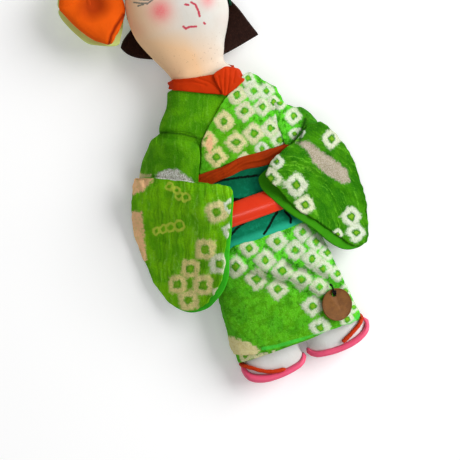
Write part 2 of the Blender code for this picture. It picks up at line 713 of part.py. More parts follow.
def head_point(turn, y, lift):
    """A point at about this distance outside the head's ring at one height."""
    left, right, depth = head_section(y)
    across, front = rounded(turn, HEAD_SQUARENESS)
    upper = max(y - HEAD_Y - HEAD_LENGTH / 2, 0) / (HEAD_LENGTH / 2)
    side_lift = mix(lift, lift * (right - left) / 2 / HEAD_HALF_WIDTH, upper)
    face_lift = mix(lift, lift * depth / HEAD_HALF_DEPTH, upper)
    half = (right - left) / 2 + side_lift
    height = head_middle(y) + front * (depth + face_lift)
    return Vector(((left + right) / 2 + across * half, head_raise(y, lift), height))


def add_neck(neck):
    """The neck's stuffed core: its lower end is round about the nod axis, its top is flat."""
    bottom = NECK_PIVOT.y - NECK_HALF_DEPTH

    def place(along, turn):
        ball = min(along / NECK_BALL_ROWS_SHARE, 1)
        above = max(along - NECK_BALL_ROWS_SHARE, 0) / (1 - NECK_BALL_ROWS_SHARE)
        y = mix(bottom, NECK_PIVOT.y, 1 - math.cos(math.pi / 2 * ball))
        y = mix(y, HEAD_Y - GAP, above)
        below = max(NECK_PIVOT.y - y, 0) / NECK_HALF_DEPTH
        fullness = max(math.sqrt(max(1 - below**2, 0)), NECK_END_SHARE)
        across, front = rounded(turn, HEAD_SQUARENESS)
        x = across * NECK_HALF_WIDTH * math.sqrt(fullness)
        return Vector((x, y, BODY_MIDDLE_Z + front * NECK_HALF_DEPTH * fullness))

    new_object("neck", ring_form(9, 18, place), SKIN, neck)


def add_head(head):
    """The stuffed head, the felt hair and the headband."""

    def face(along, turn):
        y = HEAD_Y + HEAD_LENGTH * (1 - math.cos(math.pi * along)) / 2
        return head_point(turn, y, 0)

    new_object("head", ring_form(15, 26, face), SKIN, head)
    band_middle = BODY_MIDDLE_Z + HEAD_MIDDLE_RAISE - HEADBAND_SET_BACK
    band_lift = GAP * 2 + HEADBAND_THICKNESS / 2

    def headband(across, along):
        """Along from the left temple over the crown to the right one."""
        turn = math.pi * mix(-HEADBAND_DROP_SHARE, 1 + HEADBAND_DROP_SHARE, along)
        y = HEAD_Y + HEAD_LENGTH / 2 * (1 + math.sin(turn))
        left, right, _ = head_section(y)
        side = round(math.cos(turn) / max(abs(math.cos(turn)), SHORT_RUN))
        edge = mix(left, right, (1 + side) / 2)
        z = band_middle + HEADBAND_WIDTH * (across - 0.5)
        return Vector((edge + side * band_lift, head_raise(y, band_lift), z))

    thicken(new_object("headband", sheet_form(20, 1, headband), BAND_GREEN, head), HEADBAND_THICKNESS)
    felt_lift = GAP + FELT / 2

    def band_turn(y, edge_z):
        """The turn at which the hair's layer passes the headband's edge at this height."""
        depth = head_section(y)[2] + felt_lift
        share = max(-0.95, min(0.95, (edge_z - head_middle(y)) / depth))
        return math.asin(math.copysign(abs(share) ** (HEAD_SQUARENESS / 2), share))

    def hair_back(across, along):
        hem = HEAD_Y + GAP + smooth(HAIR_HEM_SHARES, across)[0] * HEAD_LENGTH
        y = mix(hem, HEAD_Y + HEAD_LENGTH * HAIR_BACK_SHARE, 1 - (1 - along) ** 1.5)
        edge = band_turn(y, band_middle - HEADBAND_WIDTH / 2 - FELT)
        point = head_point(mix(math.pi - edge, math.pi * 2 + edge, across), y, felt_lift)
        outer = max(abs(across * 2 - 1) - HAIR_FLARE_START_SHARE, 0) / (1 - HAIR_FLARE_START_SHARE)
        low = max(1 - (y - HEAD_Y) / HEAD_LENGTH / HAIR_FLARE_SHARE, 0) ** 0.5
        reach = -RIGHT_HAIR_REACH if across < 0.5 else LEFT_HAIR_REACH
        return Vector((mix(point.x, reach, outer * low), point.y, point.z))

    thicken(new_object("hair_back", sheet_form(12, 18, hair_back), HAIR_BROWN, head), FELT)

    def hair_cap(across, along):
        y = HEAD_Y + HEAD_LENGTH * mix(HAIR_CAP_SHARE, 1, 1 - (1 - along) ** 2)
        edge = band_turn(y, band_middle + HEADBAND_WIDTH / 2 + FELT)
        return head_point(mix(edge, math.pi - edge, across), y, felt_lift)

    thicken(new_object("hair_cap", sheet_form(5, 14, hair_cap), HAIR_BROWN, head), FELT)


def add_bow(head):
    """The bow beside the temple: two stuffed loops over their lining, and the knot between them."""
    middle_y = HEAD_Y + HEAD_LENGTH * BOW_HEIGHT_SHARE
    band_front = BODY_MIDDLE_Z + HEAD_MIDDLE_RAISE - HEADBAND_SET_BACK + HEADBAND_WIDTH / 2
    middle_z = band_front + GAP * 2 + CLOTH + BOW_THICKNESS / 2
    middle_x = -HEAD_HALF_WIDTH - BOW_HALF_WIDTH - CLOTH
    for name, side in (("bow_lower", -1), ("bow_upper", 1)):

        def edges(along, side=side):
            left, right, _ = smooth(BOW_LOOP_SHARES, along)
            y = middle_y + side * (GAP / 2 + BOW_LOOP_LENGTH * along)
            return middle_x + left * BOW_HALF_WIDTH, y, middle_x + right * BOW_HALF_WIDTH, y

        def levels(x, y, along):
            half = smooth(BOW_LOOP_SHARES, along)[2] * BOW_THICKNESS / 2
            return middle_z - half, middle_z + half

        loop = stuffed_form(8, 14, CLOTH_SQUARENESS, edges, levels)
        new_object(name + "_loop", loop, BOW_ORANGE, head)

        def lining(across, along, side=side):
            left, right, _ = smooth(BOW_LOOP_SHARES, along)
            y = middle_y + side * (GAP / 2 + (BOW_LOOP_LENGTH + BOW_LINING_SHOW) * along)
            x = middle_x + mix(left * BOW_HALF_WIDTH - BOW_LINING_SHOW, right * BOW_HALF_WIDTH, across)
            return Vector((x, y, middle_z - BOW_THICKNESS / 2 - GAP - CLOTH / 2))

        thicken(new_object(name + "_lining", sheet_form(7, 6, lining), LIME, head), CLOTH)
    knot = bmesh.new()
    bmesh.ops.create_uvsphere(knot, u_segments=14, v_segments=8, radius=BOW_KNOT_RADIUS)
    flat = Matrix.Diagonal((1, BOW_KNOT_FLATNESS_SHARE, BOW_KNOT_FLATNESS_SHARE, 1))
    dimple_z = middle_z + BOW_LOOP_SHARES[0][3] * BOW_THICKNESS / 2
    knot_z = dimple_z + BOW_KNOT_RADIUS * BOW_KNOT_FLATNESS_SHARE + GAP
    place = Matrix.Translation((middle_x, middle_y, knot_z)) @ flat
    bmesh.ops.transform(knot, matrix=place, verts=knot.verts)
    new_object("bow_knot", knot, BOW_ORANGE, head)


def add_arm(side, upper_rows, front_rows, lining_rows, forearm_rows, shoulder, elbow):
    """One arm: the stuffed upper sleeve, and the bag of two layers with the forearm in it."""

    def upper_edges(along):
        return sleeve_place(smooth_rows(upper_rows, along))

    def upper_levels(x, y, along):
        top = drape_level(x, y, -GAP)
        half_width = smooth(BODY_STATIONS, y)[0]
        beyond = max(abs(x) - half_width - CORD_FACE, 0)
        depth = min(SLEEVE_SEAM_THICKNESS + LAYER + beyond * SLEEVE_SWELL_SHARE, SLEEVE_DEPTH)
        under = OBIAGE_FACE if y < OBIAGE_TOP_Y + OBIAGE_THICKNESS else SECOND_LAYER + CLOTH / 2
        floor = body_front(x, y, under + GAP * 2) if abs(x) < half_width + under else 0
        back = max(top - depth, floor, GAP)
        puff = mix(back + SLEEVE_SEAM_THICKNESS, top, min(along * 2, 1))
        return back, min(max(puff, back + SLEEVE_SEAM_THICKNESS), max(top, back + CLOTH))

    upper = stuffed_form(9, 20, CLOTH_SQUARENESS, upper_edges, upper_levels)
    new_object(side + "_upper_sleeve", upper, GREEN, shoulder)

    def lining(across, along):
        left_x, left_y, right_x, right_y = sleeve_place(smooth_rows(lining_rows, along))
        x = mix(left_x, right_x, across)
        y = mix(left_y, right_y, across)
        return Vector((x, y, drape_level(x, y, GAP + LINING / 2)))

    thicken(new_object(side + "_sleeve_lining", sheet_form(14, 8, lining), LINING_GREEN, elbow), LINING)
    arm_level = GAP * 2 + LINING

    def forearm_middle(along):
        return Vector(sleeve_place(smooth_rows(forearm_rows, along)))

    def forearm_fullness(along):
        """The forearm is full in its middle and blunt at its two ends."""
        inner = mix(FOREARM_END_SHARE, 1 - FOREARM_END_SHARE, along)
        return math.sin(math.pi * inner) ** FOREARM_BLUNTNESS_SHARE

    def forearm_edges(along):
        middle = forearm_middle(along)
        half = FOREARM_HALF_WIDTH * forearm_fullness(along)
        return middle.x, middle.y - half, middle.x, middle.y + half

    def forearm_levels(x, y, along):
        base = drape_level(x, y, arm_level)
        return base, base + FOREARM_THICKNESS * forearm_fullness(along)

    forearm = stuffed_form(9, 10, HEAD_SQUARENESS, forearm_edges, forearm_levels)
    new_object(side + "_forearm", forearm, STUFFING, elbow)

    def front(across, along):
        left_x, left_y, right_x, right_y = sleeve_place(smooth_rows(front_rows, along))
        x = mix(left_x, right_x, across)
        y = mix(left_y, right_y, across)
        place = Vector((x, y))
        distance = min((forearm_middle(step / 12) - place).length for step in range(13))
        near = 1 - min(max(distance - FOREARM_HALF_WIDTH, 0) / FOREARM_EASE, 1)
        bulge = (FOREARM_THICKNESS + GAP) * near**2 * (3 - 2 * near)
        return Vector((x, y, drape_level(x, y, arm_level + CLOTH / 2) + bulge))

    thicken(new_object(side + "_sleeve_front", sheet_form(15, 10, front), KANOKO, elbow), CLOTH)


def leg_place(side, x, y):
    """A leg's place in metres: the doll's left foot stands a little higher, apart and longer."""
    below = max(0, min(1, (TOE_TOP_SHARE - y / HEM_Y) / TOE_FADE_SHARE))
    if side < 0:
        return RIGHT_HEEL_SHIFT * below - LEG_PARTING - x, y
    fade = max(0, min(1, (HEM_Y * 2 - y) / HEM_Y))
    rise = (LEFT_FOOT_LIFT + LEFT_TOE_RISE * x / FOOT_LENGTH) * fade
    x *= 1 + LEFT_TOE_STRETCH * below
    return LEG_PARTING + x + LEFT_FOOT_SHIFT * fade + LEFT_TOE_SHIFT * below, y + rise


def leg_middle(y):
    """The height of a leg's middle: it slopes from the hip to the foot that lies lower."""
    share = max(0, min(1, (y - HEM_Y) / (HIP_PIVOT.y - HEM_Y)))
    at_hem = HEM_MIDDLE_Z - HEM_HALF_DEPTH + FOOT_HALF_DEPTH + LEG_CLEARANCE
    low = mix(FOOT_MIDDLE_Z, at_hem, min(y / HEM_Y, 1) ** 3)
    return mix(low, HIP_PIVOT.z, share)


def leg_section(y):
    """Toe side, heel side and half depth at one height, for a foot that points along +X."""
    toe, heel, depth = smooth(LEG_SHARES, y / HIP_PIVOT.y)
    return toe * FOOT_LENGTH, heel * FOOT_LENGTH, depth * FOOT_HALF_DEPTH


def add_leg(name, side, hip):
    """One stuffed leg with its foot turned outward, its sandal sole and its strap."""
    bottom = LEG_SHARES[0][0] * HIP_PIVOT.y
    top = LEG_SHARES[-1][0] * HIP_PIVOT.y

    def edges(along):
        y = mix(bottom, top, mix(along, (1 - math.cos(math.pi * along)) / 2, 0.8))
        toe, heel, _ = leg_section(y)
        return toe, y, heel, y

    def levels(x, y, along):
        half = leg_section(y)[2]
        return leg_middle(y) - half, leg_middle(y) + half

    form = stuffed_form(15, 14, FOOT_SQUARENESS, edges, levels)
    for vertex in form.verts:
        vertex.co.x, vertex.co.y = leg_place(side, vertex.co.x, vertex.co.y)
    new_object(name + "_leg", form, WHITE, hip)

    def sole_edges(along):
        across, up, _ = smooth_rows(SOLE_SHARES, along)
        inset = SOLE_THICKNESS * (0.5 - across)
        x = across * FOOT_LENGTH
        low = SOLE_OVERHANG + up * FOOT_LENGTH * SOLE_RISE_SHARE
        bend = max(abs(across * 2 - 1) - SOLE_FLAT_SHARE, 0)
        return x, low, x + inset * bend, low + SOLE_THICKNESS * (1 - bend * SOLE_TIP_SHARE)

    def sole_levels(x, y, along):
        half = smooth_rows(SOLE_SHARES, along)[2] * FOOT_HALF_DEPTH
        return FOOT_MIDDLE_Z - half, FOOT_MIDDLE_Z + half

    form = stuffed_form(12, 12, SOLE_SQUARENESS, sole_edges, sole_levels)
    for vertex in form.verts:
        vertex.co.x, vertex.co.y = leg_place(side, vertex.co.x, vertex.co.y)
    new_object(name + "_sole", form, SOLE_PINK, hip)

    points = []
    steepening = FOOT_SQUARENESS - 1
    for step in range(17):
        round_share = step / 8 - 1
        low = SOLE_OVERHANG + SOLE_THICKNESS + STRAP_RADIUS + GAP * 3
        y = mix(HIP_PIVOT.y * STRAP_TOP_SHARE, low, abs(round_share) ** STRAP_BEND)
        toe, heel, half = leg_section(y)
        across, front = rounded(STRAP_TURNS[side] * round_share, FOOT_SQUARENESS)
        slope_x = abs(across) ** steepening / (toe - heel) * 2
        out = Vector((slope_x, 0, abs(front) ** steepening / half)).normalized()
        off = STRAP_RADIUS + GAP * 2
        x = mix(heel, toe, (1 + across) / 2) + math.copysign(out.x, across) * off
        z = leg_middle(y) + front * half + math.copysign(out.z, front) * off
        points.append(Vector((*leg_place(side, x, y), z)))
    new_tube(points, STRAP_RADIUS, name + "_strap", STRAP_ORANGE, hip)


def add_disc(name, radius, thickness, sides, seat, pivot):
    """A round disc whose middle and axes this matrix gives."""
    form = bmesh.new()
    sizes = {"radius1": radius, "radius2": radius, "depth": thickness}
    bmesh.ops.create_cone(form, cap_ends=True, segments=sides, matrix=seat, **sizes)
    disc = new_object(name, form, COPPER, pivot)
    disc.data.set_sharp_from_angle(angle=math.radians(40))
    return disc


def add_tag(root):
    """The round tag that hangs on a thread stitched into the skirt's front."""
    turn = body_turn(TAG_X, TAG_Y, THIRD_LAYER)
    centre = body_point(turn, TAG_Y, SECOND_LAYER + CLOTH / 2)
    beside = body_point(turn - math.radians(3), TAG_Y, SECOND_LAYER + CLOTH / 2)
    above = body_point(turn, TAG_Y + OVERRUN, SECOND_LAYER + CLOTH / 2)
    across = (beside - centre).normalized()
    normal = across.cross(above - centre).normalized()
    up = normal.cross(across)
    axes = Matrix((across, up, normal)).transposed().to_4x4()
    middle = centre + normal * (THREAD_RADIUS + GAP + TAG_THICKNESS / 2)
    hole = middle + up * (TAG_RADIUS - TAG_HOLE_INSET)
    stitch = middle + up * (TAG_RADIUS + TAG_HOLE_INSET)
    lift = new_pivot("tag_lift_pivot", stitch + normal * TAG_THICKNESS, root)
    swing = new_pivot("tag_swing_pivot", hole, lift)
    tag = add_disc("tag", TAG_RADIUS, TAG_THICKNESS, 36, Matrix.Translation(middle) @ axes, swing)
    drill_length = TAG_THICKNESS + OVERRUN
    seat = Matrix.Translation(hole) @ axes
    cutter = add_disc("tag_hole_cutter", TAG_HOLE_RADIUS, drill_length, 14, seat, swing)
    cutter.display_type = "WIRE"
    cutter.hide_render = True
    bpy.data.collections["cloth_doll"].objects.unlink(cutter)
    bpy.data.collections["cutters"].objects.link(cutter)
    cut = tag.modifiers.new("Hole", "BOOLEAN")
    cut.operation = "DIFFERENCE"
    cut.object = cutter
    rise = normal * (TAG_THICKNESS / 2 + THREAD_RADIUS + GAP)
    thread = [
        hole - normal * TAG_THICKNESS / 2,
        hole + rise / 2,
        hole + up * THREAD_RADIUS * 2 + rise,
        mix(hole, stitch, 0.6) + rise,
        stitch + rise * 0.8,
        stitch + up * THREAD_RADIUS,
        stitch - normal * THREAD_RADIUS,
    ]
    new_tube(thread, THREAD_RADIUS, "tag_thread", BLACK, lift)


def main():
    clear_scene()
    for name in ("cloth_doll", "cutters"):
        bpy.context.scene.collection.children.link(bpy.data.collections.new(name))
    root = new_pivot("doll_root", Vector((0, 0, 0)), None)
    root.location = (0, -OBI_MIDDLE_Y, 0)
    neck = new_pivot("neck_pivot", NECK_PIVOT, root)
    head = new_pivot("head_pivot", HEAD_PIVOT, neck)
    add_body(root)
    add_kimono(root)
    add_collar(root)
    add_waist(root)
    add_neck(neck)
    add_head(head)
    add_bow(head)
    shoulder_z = BODY_MIDDLE_Z + BODY_HALF_DEPTH + CORD_FACE + GAP
    for side, rows in (
        ("right", (RIGHT_UPPER_SLEEVE_SHARES, RIGHT_FRONT_SHARES, RIGHT_LINING_SHARES, RIGHT_FOREARM_SHARES)),
        ("left", (LEFT_UPPER_SLEEVE_SHARES, LEFT_FRONT_SHARES, LEFT_LINING_SHARES, LEFT_FOREARM_SHARES)),
    ):
        upper_rows, front_rows = rows[:2]
        top = sleeve_place(upper_rows[0])
        shoulder_place = Vector((top[0], max(top[1], top[3]) + CLOTH, shoulder_z))
        shoulder = new_pivot(side + "_shoulder_pivot", shoulder_place, root)
        bag = sleeve_place(front_rows[0])
        elbow_place = Vector((bag[0], max(bag[1], bag[3]) + CLOTH, shoulder_z + FOREARM_THICKNESS))
        elbow = new_pivot(side + "_elbow_pivot", elbow_place, shoulder)
        add_arm(side, *rows, shoulder, elbow)
    add_tag(root)
    for name, side in (("right", -1), ("left", 1)):
        hip = new_pivot(name + "_hip_pivot", HIP_PIVOT, root)
        add_leg(name, side, hip)


main()
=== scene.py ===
import json
import math
from contextlib import contextmanager

import bpy
import numpy as np
from mathutils import Matrix, Vector, noise
from mathutils.bvhtree import BVHTree


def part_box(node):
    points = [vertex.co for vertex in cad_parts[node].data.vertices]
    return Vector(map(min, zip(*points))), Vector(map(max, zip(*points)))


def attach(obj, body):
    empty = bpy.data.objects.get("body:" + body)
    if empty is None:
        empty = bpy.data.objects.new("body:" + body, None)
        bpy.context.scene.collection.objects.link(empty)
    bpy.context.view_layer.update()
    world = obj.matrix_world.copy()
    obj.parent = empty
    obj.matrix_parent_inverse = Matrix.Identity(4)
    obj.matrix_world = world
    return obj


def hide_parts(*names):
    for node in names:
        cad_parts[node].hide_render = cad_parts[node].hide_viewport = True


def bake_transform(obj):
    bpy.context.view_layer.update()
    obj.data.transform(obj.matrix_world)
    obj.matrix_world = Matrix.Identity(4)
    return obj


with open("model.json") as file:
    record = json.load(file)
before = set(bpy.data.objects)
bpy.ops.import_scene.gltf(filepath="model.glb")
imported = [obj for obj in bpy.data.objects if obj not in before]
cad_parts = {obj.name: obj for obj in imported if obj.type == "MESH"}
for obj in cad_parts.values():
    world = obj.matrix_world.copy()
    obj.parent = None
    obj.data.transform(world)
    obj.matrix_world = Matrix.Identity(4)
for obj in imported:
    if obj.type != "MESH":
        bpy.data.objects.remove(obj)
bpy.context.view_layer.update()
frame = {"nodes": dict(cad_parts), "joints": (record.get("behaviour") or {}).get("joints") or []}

MM = 0.001
SOLES_Y = -0.088

# The camera looks straight down on the lying doll, turned a little
CAMERA_PLACE = Vector((-0.0133, -0.0082, 0.62))
CAMERA_PLANE_Z = 0.02
CAMERA_TURN = math.radians(-20)
CAMERA_WIDTH_ANGLE = math.radians(21.7)

# Marks on the cloth are given where the camera sees them: millimetres to the doll's left
# and up from its soles. A dyed ring is (x, y, radius, turn in degrees, whiteness).
PANEL_RINGS = (
    (21, 148, 3.6, 10, 0.9), (13, 142, 4.6, 14, 0.55), (21.5, 141, 4.4, 20, 0.8),
    (27.5, 139, 3.8, 25, 0.9), (2.5, 132, 4.7, 18, 0.25), (14, 133.2, 4.6, 22, 0.6),
    (23, 132, 4.2, 24, 0.75), (29, 132.5, 3.2, 24, 0.8), (-8.2, 126, 4.2, 20, 0.15),
    (4.5, 120, 4.9, 24, 0.3), (14.3, 121, 4.8, 24, 0.45), (23, 120.6, 4.4, 30, 0.7),
    (29, 123.5, 3.4, 20, 0.85), (-7.2, 116.3, 4.8, 22, 0.15), (25.5, 113.4, 4.2, 24, 0.85),
    (15.5, 112.6, 3.4, 24, 0.9), (10, 150.5, 3.6, 20, 0.7), (14.5, 152, 3.4, 30, 0.85),
    (5.5, 110.8, 3.2, 22, 0.5),
)
RIGHT_SLEEVE_RINGS = (
    (-16.5, 90.5, 5.4, 4, 0.2), (-28.2, 74.8, 5.4, -22, 0.1), (-38.6, 68.3, 4.9, -24, 0.05),
    (-47.3, 63.3, 4.7, -18, 0.05), (-35.4, 58.6, 5.3, -20, 0.1), (-44.8, 53.8, 5.2, -8, 0.1),
    (-24.2, 65.6, 5.2, -20, 0.75), (-9, 91, 3.6, 10, 0.95), (-12.5, 79, 4.4, 16, 0.95),
    (-52.5, 48.5, 3.2, 0, 0.3), (-29.5, 51.5, 3.6, -10, 0.6),
)
LEFT_SLEEVE_RINGS = (
    (14.5, 97, 5.2, 18, 0.75), (25.5, 89.5, 5.5, 24, 0.85), (26.2, 78.6, 4.6, 10, 0.7),
    (46, 65.4, 4.6, 30, 0.9), (45.5, 57, 4.4, 24, 0.95), (50, 105.3, 4.5, 20, 0.8),
    (20.5, 104, 3.6, 20, 0.9), (36.5, 59.5, 2.6, 12, 0.9), (36, 122.6, 3.9, 20, 0.85),
    (33.5, 114, 2.8, 10, 0.9), (32, 131, 3.4, 20, 0.85), (36.5, 113.5, 2.2, 40, 1.0),
)
SKIRT_RINGS = (
    (-7.5, 68, 4.3, 18, 0.75), (7, 66.5, 4.7, 22, 0.85), (20.5, 66.5, 4.2, 22, 0.9),
    (-17, 61.5, 5.0, 20, 0.75), (-2, 59.5, 4.9, 22, 0.8), (13.8, 59.2, 4.7, 24, 0.85),
    (25, 59.5, 4.2, 26, 0.9), (-9.2, 52.2, 5.0, 22, 0.7), (4.2, 51.5, 5.0, 22, 0.8),
    (20.2, 52.2, 4.6, 24, 0.85), (28.6, 52.5, 3.9, 24, 0.9), (-1, 44, 5.0, 22, 0.75),
    (11.8, 44.5, 5.0, 22, 0.8), (24, 45.6, 4.5, 24, 0.85), (19, 37.8, 4.5, 24, 0.8),
    (29.5, 41, 3.7, 24, 0.9), (12.6, 30, 4.9, 20, 0.85), (12.4, 18.4, 4.8, 14, 0.9),
    (30.5, 31.5, 3.2, 20, 0.9), (26.5, 17.8, 3.6, 20, 0.85), (31.5, 22.5, 3.0, 20, 0.9),
    (33.4, 60, 3.4, 20, 0.9),
)
BACK_RINGS = tuple(
    (14 * column + 7 * (row % 2) - 28, 12 * row + 22, 4.6, 20, 0.6)
    for row in range(10)
    for column in range(5)
    if (row + column) % 3
)
RIGHT_SLEEVE_CHAINS = (
    (-34.3, 110.6, 1.7), (-31.6, 107.4, 1.5), (-31.5, 104.6, 1.7), (-28.4, 102.6, 1.9),
    (-47.9, 91.9, 1.6), (-44.6, 91.6, 1.9), (-40.8, 91.3, 1.9), (-36.5, 90.5, 2.4),
)
RIGHT_SLEEVE_PEACH = (
    ((-62, 107), (-51.5, 103.5), (-53.3, 97), (-55.2, 89), (-57.5, 80), (-64, 78)),
    ((-55, 124), (-39, 118.6), (-42, 115.6), (-48, 113), (-56, 113)),
)
LEFT_SLEEVE_PALE = (
    (
        (33, 110), (36.5, 104), (37, 98), (41, 90), (48, 82),
        (51.5, 82), (52, 88), (48, 95), (43, 101), (39, 108),
    ),
)
UPPER_SLEEVE_PALE = (
    ((-39, 118.6), (-32, 119), (-28, 117.5), (-22.5, 109.5), (-32, 111), (-38, 115)),
)
UPPER_SLEEVE_PEACH = (((-50, 124), (-41, 119.5), (-43, 112), (-52, 112)),)
SKIRT_PEACH = (
    (
        (-38, 32.5), (-33.7, 31), (-29.7, 28.5), (-24.8, 24.5),
        (-21.1, 20.8), (-20, 18), (-24, 14), (-38, 14),
    ),
)
PANEL_PEACH = (((-6, 128), (-8.6, 127), (-11.5, 121), (-9, 119), (-6.5, 123)),)
PANEL_FOLDS = (((33, 136), (30.5, 127), (27.5, 119), (22, 111.5)), ((25.5, 144), (26.5, 134), (24, 126)))
SKIRT_FOLDS = (
    ((-11, 56.5), (-2.7, 49.7), (5.3, 44.9), (10.1, 39.9), (18.2, 31.7), (22, 29)),
    ((8, 53.5), (17.3, 47.1), (23.7, 41.4), (28.4, 34.5)),
)
SKIRT_HEM = (((-18, 18.4), (-11.3, 17.2), (-2.2, 16.6), (7.9, 15.6), (17.4, 14.7), (28.1, 15.2), (33.5, 18)),)
HEM_RINGS = ((-27.5, 18.4, 3.4, 10, 0.4), (-21.5, 17.4, 3.2, 30, 0.4), (-15.5, 15.5, 3, 0, 0.5))
COLLAR_CREASES = (
    ((12, 156.5), (9, 150), (7, 144)), ((14.5, 156), (11.5, 149.5), (8.2, 143.6)),
    ((16.6, 154), (13.5, 148.5)), ((7.5, 154), (6.5, 148), (5.6, 144.5)),
    ((-14, 159), (-6, 156.2), (0, 152)), ((-4, 158), (2.4, 152.5), (5.4, 148)),
)
OBI_FOLDS = (((-12, 103), (2, 99), (14, 97.5), (26, 96)), ((-12, 94.5), (2, 93.5), (14, 91.5)))
LEFT_SLEEVE_FOLDS = (
    ((30, 94), (36, 88), (46, 77.5), (54, 68.5), (55.5, 62)),
    ((25, 101.5), (31, 98), (36.5, 90.5), (40, 82), (40.5, 72), (38.5, 63)),
    ((36, 108.5), (44, 99), (51, 90), (56, 84)),
)
SHOULDER_SEAM = ((-31.5, 139.2), (-10, 129))
# Painted shade along the shoulder seam, as (stroke, strength, width in millimetres)
SHOULDER_SEAM_SHADE = ((((-30.5, 138.2), (-19.4, 133.1), (-10.4, 126.9)), 0.6, 0.45),)
SHOULDER_PULLS = ((-30.4, 138.8, 0.9, -1.4, 6),)
BODICE_PULLS = ((-28, 141, -1.2, 0, 9), (18.5, 153.8, -1.8, -2.2, 8))
BAND_PULLS = ((-27, 204, 2.4, 0, 24),)
CAP_SEAM = ((30.1, 133), (27.1, 112))
# Painted shade in the fold of the left sleeve's cap, as (stroke, strength, width in millimetres)
CAP_FOLD_SHADE = ((((40.9, 118.9), (37.6, 114), (34.5, 109.2)), 0.85, 1.0),)
COLLAR_PULLS = ((20.8, 155.9, -3.2, -2.3, 11),)
COLLAR_CORNERS = (
    (-17.1, 160.6, 0.3, -1.0, 3.2), (-18.8, 156.3, 1.4, 0.2, 3.4),
    (16.6, 158.6, -0.2, -1.8, 4.2), (20.2, 151.2, -1.4, -0.6, 3.8),
)
BOW_FOLDS = (((-26.4, 199), (-32.6, 194.7), (-36.2, 191.2), (-38.4, 187.8)),)
BOW_HOLLOW = (-38.5, 208.5)
BOW_CORNERS = {"lower": ((-58.5, 215.3, 3.5, 0, 4.5),), "upper": ((-58.5, 210.3, 3.5, 0, 4.5),)}
BOW_PULLS = ((-39.6, 188.1, 1.7, -0.6, 7), (-28, 204, 3.0, 0, 12), (-27, 216, 2.0, 0, 9))
LIME_PULLS = ((-40.3, 183.8, 5.0, 0.0, 11), (-45, 187, 0.5, 0.8, 7))
HAIR_PULLS = ((32, 168, 1.5, 0.6, 22),)
STRAP_PULLS = ((-17.7, 9, -0.8, -2.0, 13),)
SEAM_Z = 0.028
JOIN_SPANS = {"right": (-0.0455, -0.0150), "left": (0.0330, 0.0485)}
JOIN_PALE = (((-39, 122), (-22.5, 122), (-22.5, 100), (-39, 100)),)
HEADBAND_TURN_Y = 0.111
NECK_CREASE_Y = 170
FLOOR_GLOW = 0.14
SKY_LEVEL = 0.30
LIGHTS = (
    ("key_light", (1.45, 0.14, 1.2), (1.3, 1.3), 0.61),
    ("low_strip_light", (-0.2, -0.75, 1.9), (1.4, 0.3), 0.12),
)
FAR = 40.0
RING_SQUARENESS = 4.6
PUCKER = 0.0003
SHARP = math.radians(50)
SOFT_RIM = 0.35
HOLE_Y = 0.0053

# What crepe reads at each point: distances from a mark, which start far off, and plain values
FAR_MARKS = ("share", "chain", "peach", "pale", "rim")
PLAIN_MARKS = ("ring_x", "ring_y", "white", "seed", "ground", "streak", "crinkled", "fold", "bleach")

# The face: strokes as chains of points, and blushes as (x, y, radius, strength)
LASHES = (
    ((-19.6, 203.2), (-16.5, 201.6), (-13.6, 200.6)),
    ((-13.6, 200.2), (-10.2, 201.3)),
    ((-16.5, 203.6), (-12.6, 201.9), (-9.6, 202.4)),
    ((-18.2, 200.8), (-15.4, 200.6)),
    ((7.5, 197.5), (12.5, 195.0), (17.5, 195.6)),
    ((9.5, 195.2), (14, 193.6)),
)
MOUTH = (
    ((-0.4, 183.4), (0.4, 181.9), (2.4, 182.2), (4.2, 181.6), (5.6, 181.2)),
    ((4.2, 193.4), (5.6, 192.7)),
    ((7.4, 193.4), (9.0, 191.6), (9.3, 188.0), (9.0, 185.4)),
    ((9.9, 181.6), (10.2, 181.0)),
)
BLUSHES = ((-8.5, 194.8, 8.2, 0.75), (15.4, 191.5, 5.4, 0.5), (-22.5, 190, 7, 0.12), (21, 179, 7, 0.06))

# Black lines on the obi: brush strokes, and painted shadow lines under the obiage and above the cord
OBI_STROKES_AND_SHADOW_LINES = (
    ((-24, 107.5), (-14.6, 105.3), (-7.8, 104.4), (1.2, 102.6), (10.4, 100.4), (20, 98.6), (30, 97.4)),
    ((-14.1, 77.0), (-9.6, 79.5), (-4.3, 81.1)),
    ((2.0, 72.1), (5.3, 74.5), (9.0, 78.0), (12.2, 80.2)),
    ((16.4, 72.9), (17.3, 74.5), (17.0, 76.3), (15.6, 79.5)),
    ((-7.7, 92.4), (-0.3, 91.7), (7.3, 91.6), (10.2, 91.7)),
    ((-30, 95), (-18, 91.5), (-9, 94.5), (1, 91.4)),
    ((26, 78), (36, 84), (40, 96)),
    ((-40, 96), (-34, 84), (-27, 73)),
)


def colour(red, green, blue):
    """A colour seen on screen, as the linear values that a shader takes."""
    return (*((part / 255) ** 2.2 for part in (red, green, blue)), 1)


def only(obj):
    bpy.ops.object.select_all(action="DESELECT")
    obj.select_set(True)
    bpy.context.view_layer.objects.active = obj


def new_object(name, data):
    obj = bpy.data.objects.new(name, data)
    bpy.context.scene.collection.objects.link(obj)
    return obj


def read(items, name, width=3, kind=float):
    """What a mesh's items hold under this name, as the rows of an array."""
    values = np.empty(len(items) * width, kind)
    items.foreach_get(name, values)
    return values.reshape(-1, width)


def points_of(obj):
    return read(obj.data.vertices, "co")


def normals_of(obj):
    return read(obj.data.vertex_normals, "vector")


def place_points(obj, points):
    obj.data.vertices.foreach_set("co", points.ravel())
    obj.data.update()


def seen(points):
    """Where the camera sees these points: millimetres to the doll's left and up from its soles."""
    share = (CAMERA_PLACE.z - CAMERA_PLANE_Z) / (CAMERA_PLACE.z - points[:, 2:3])
    middle = np.array(CAMERA_PLACE[:2])
    return (middle + (points[:, :2] - middle) * share - (0, SOLES_Y)) / MM


def wander(points, size, seed=0.0):
    """Smooth random values from -1 to 1 over the points, with features of about this size."""
    start = Vector((seed, seed / 3, -seed))
    return np.array([noise.noise(Vector(point) / size + start) for point in points])


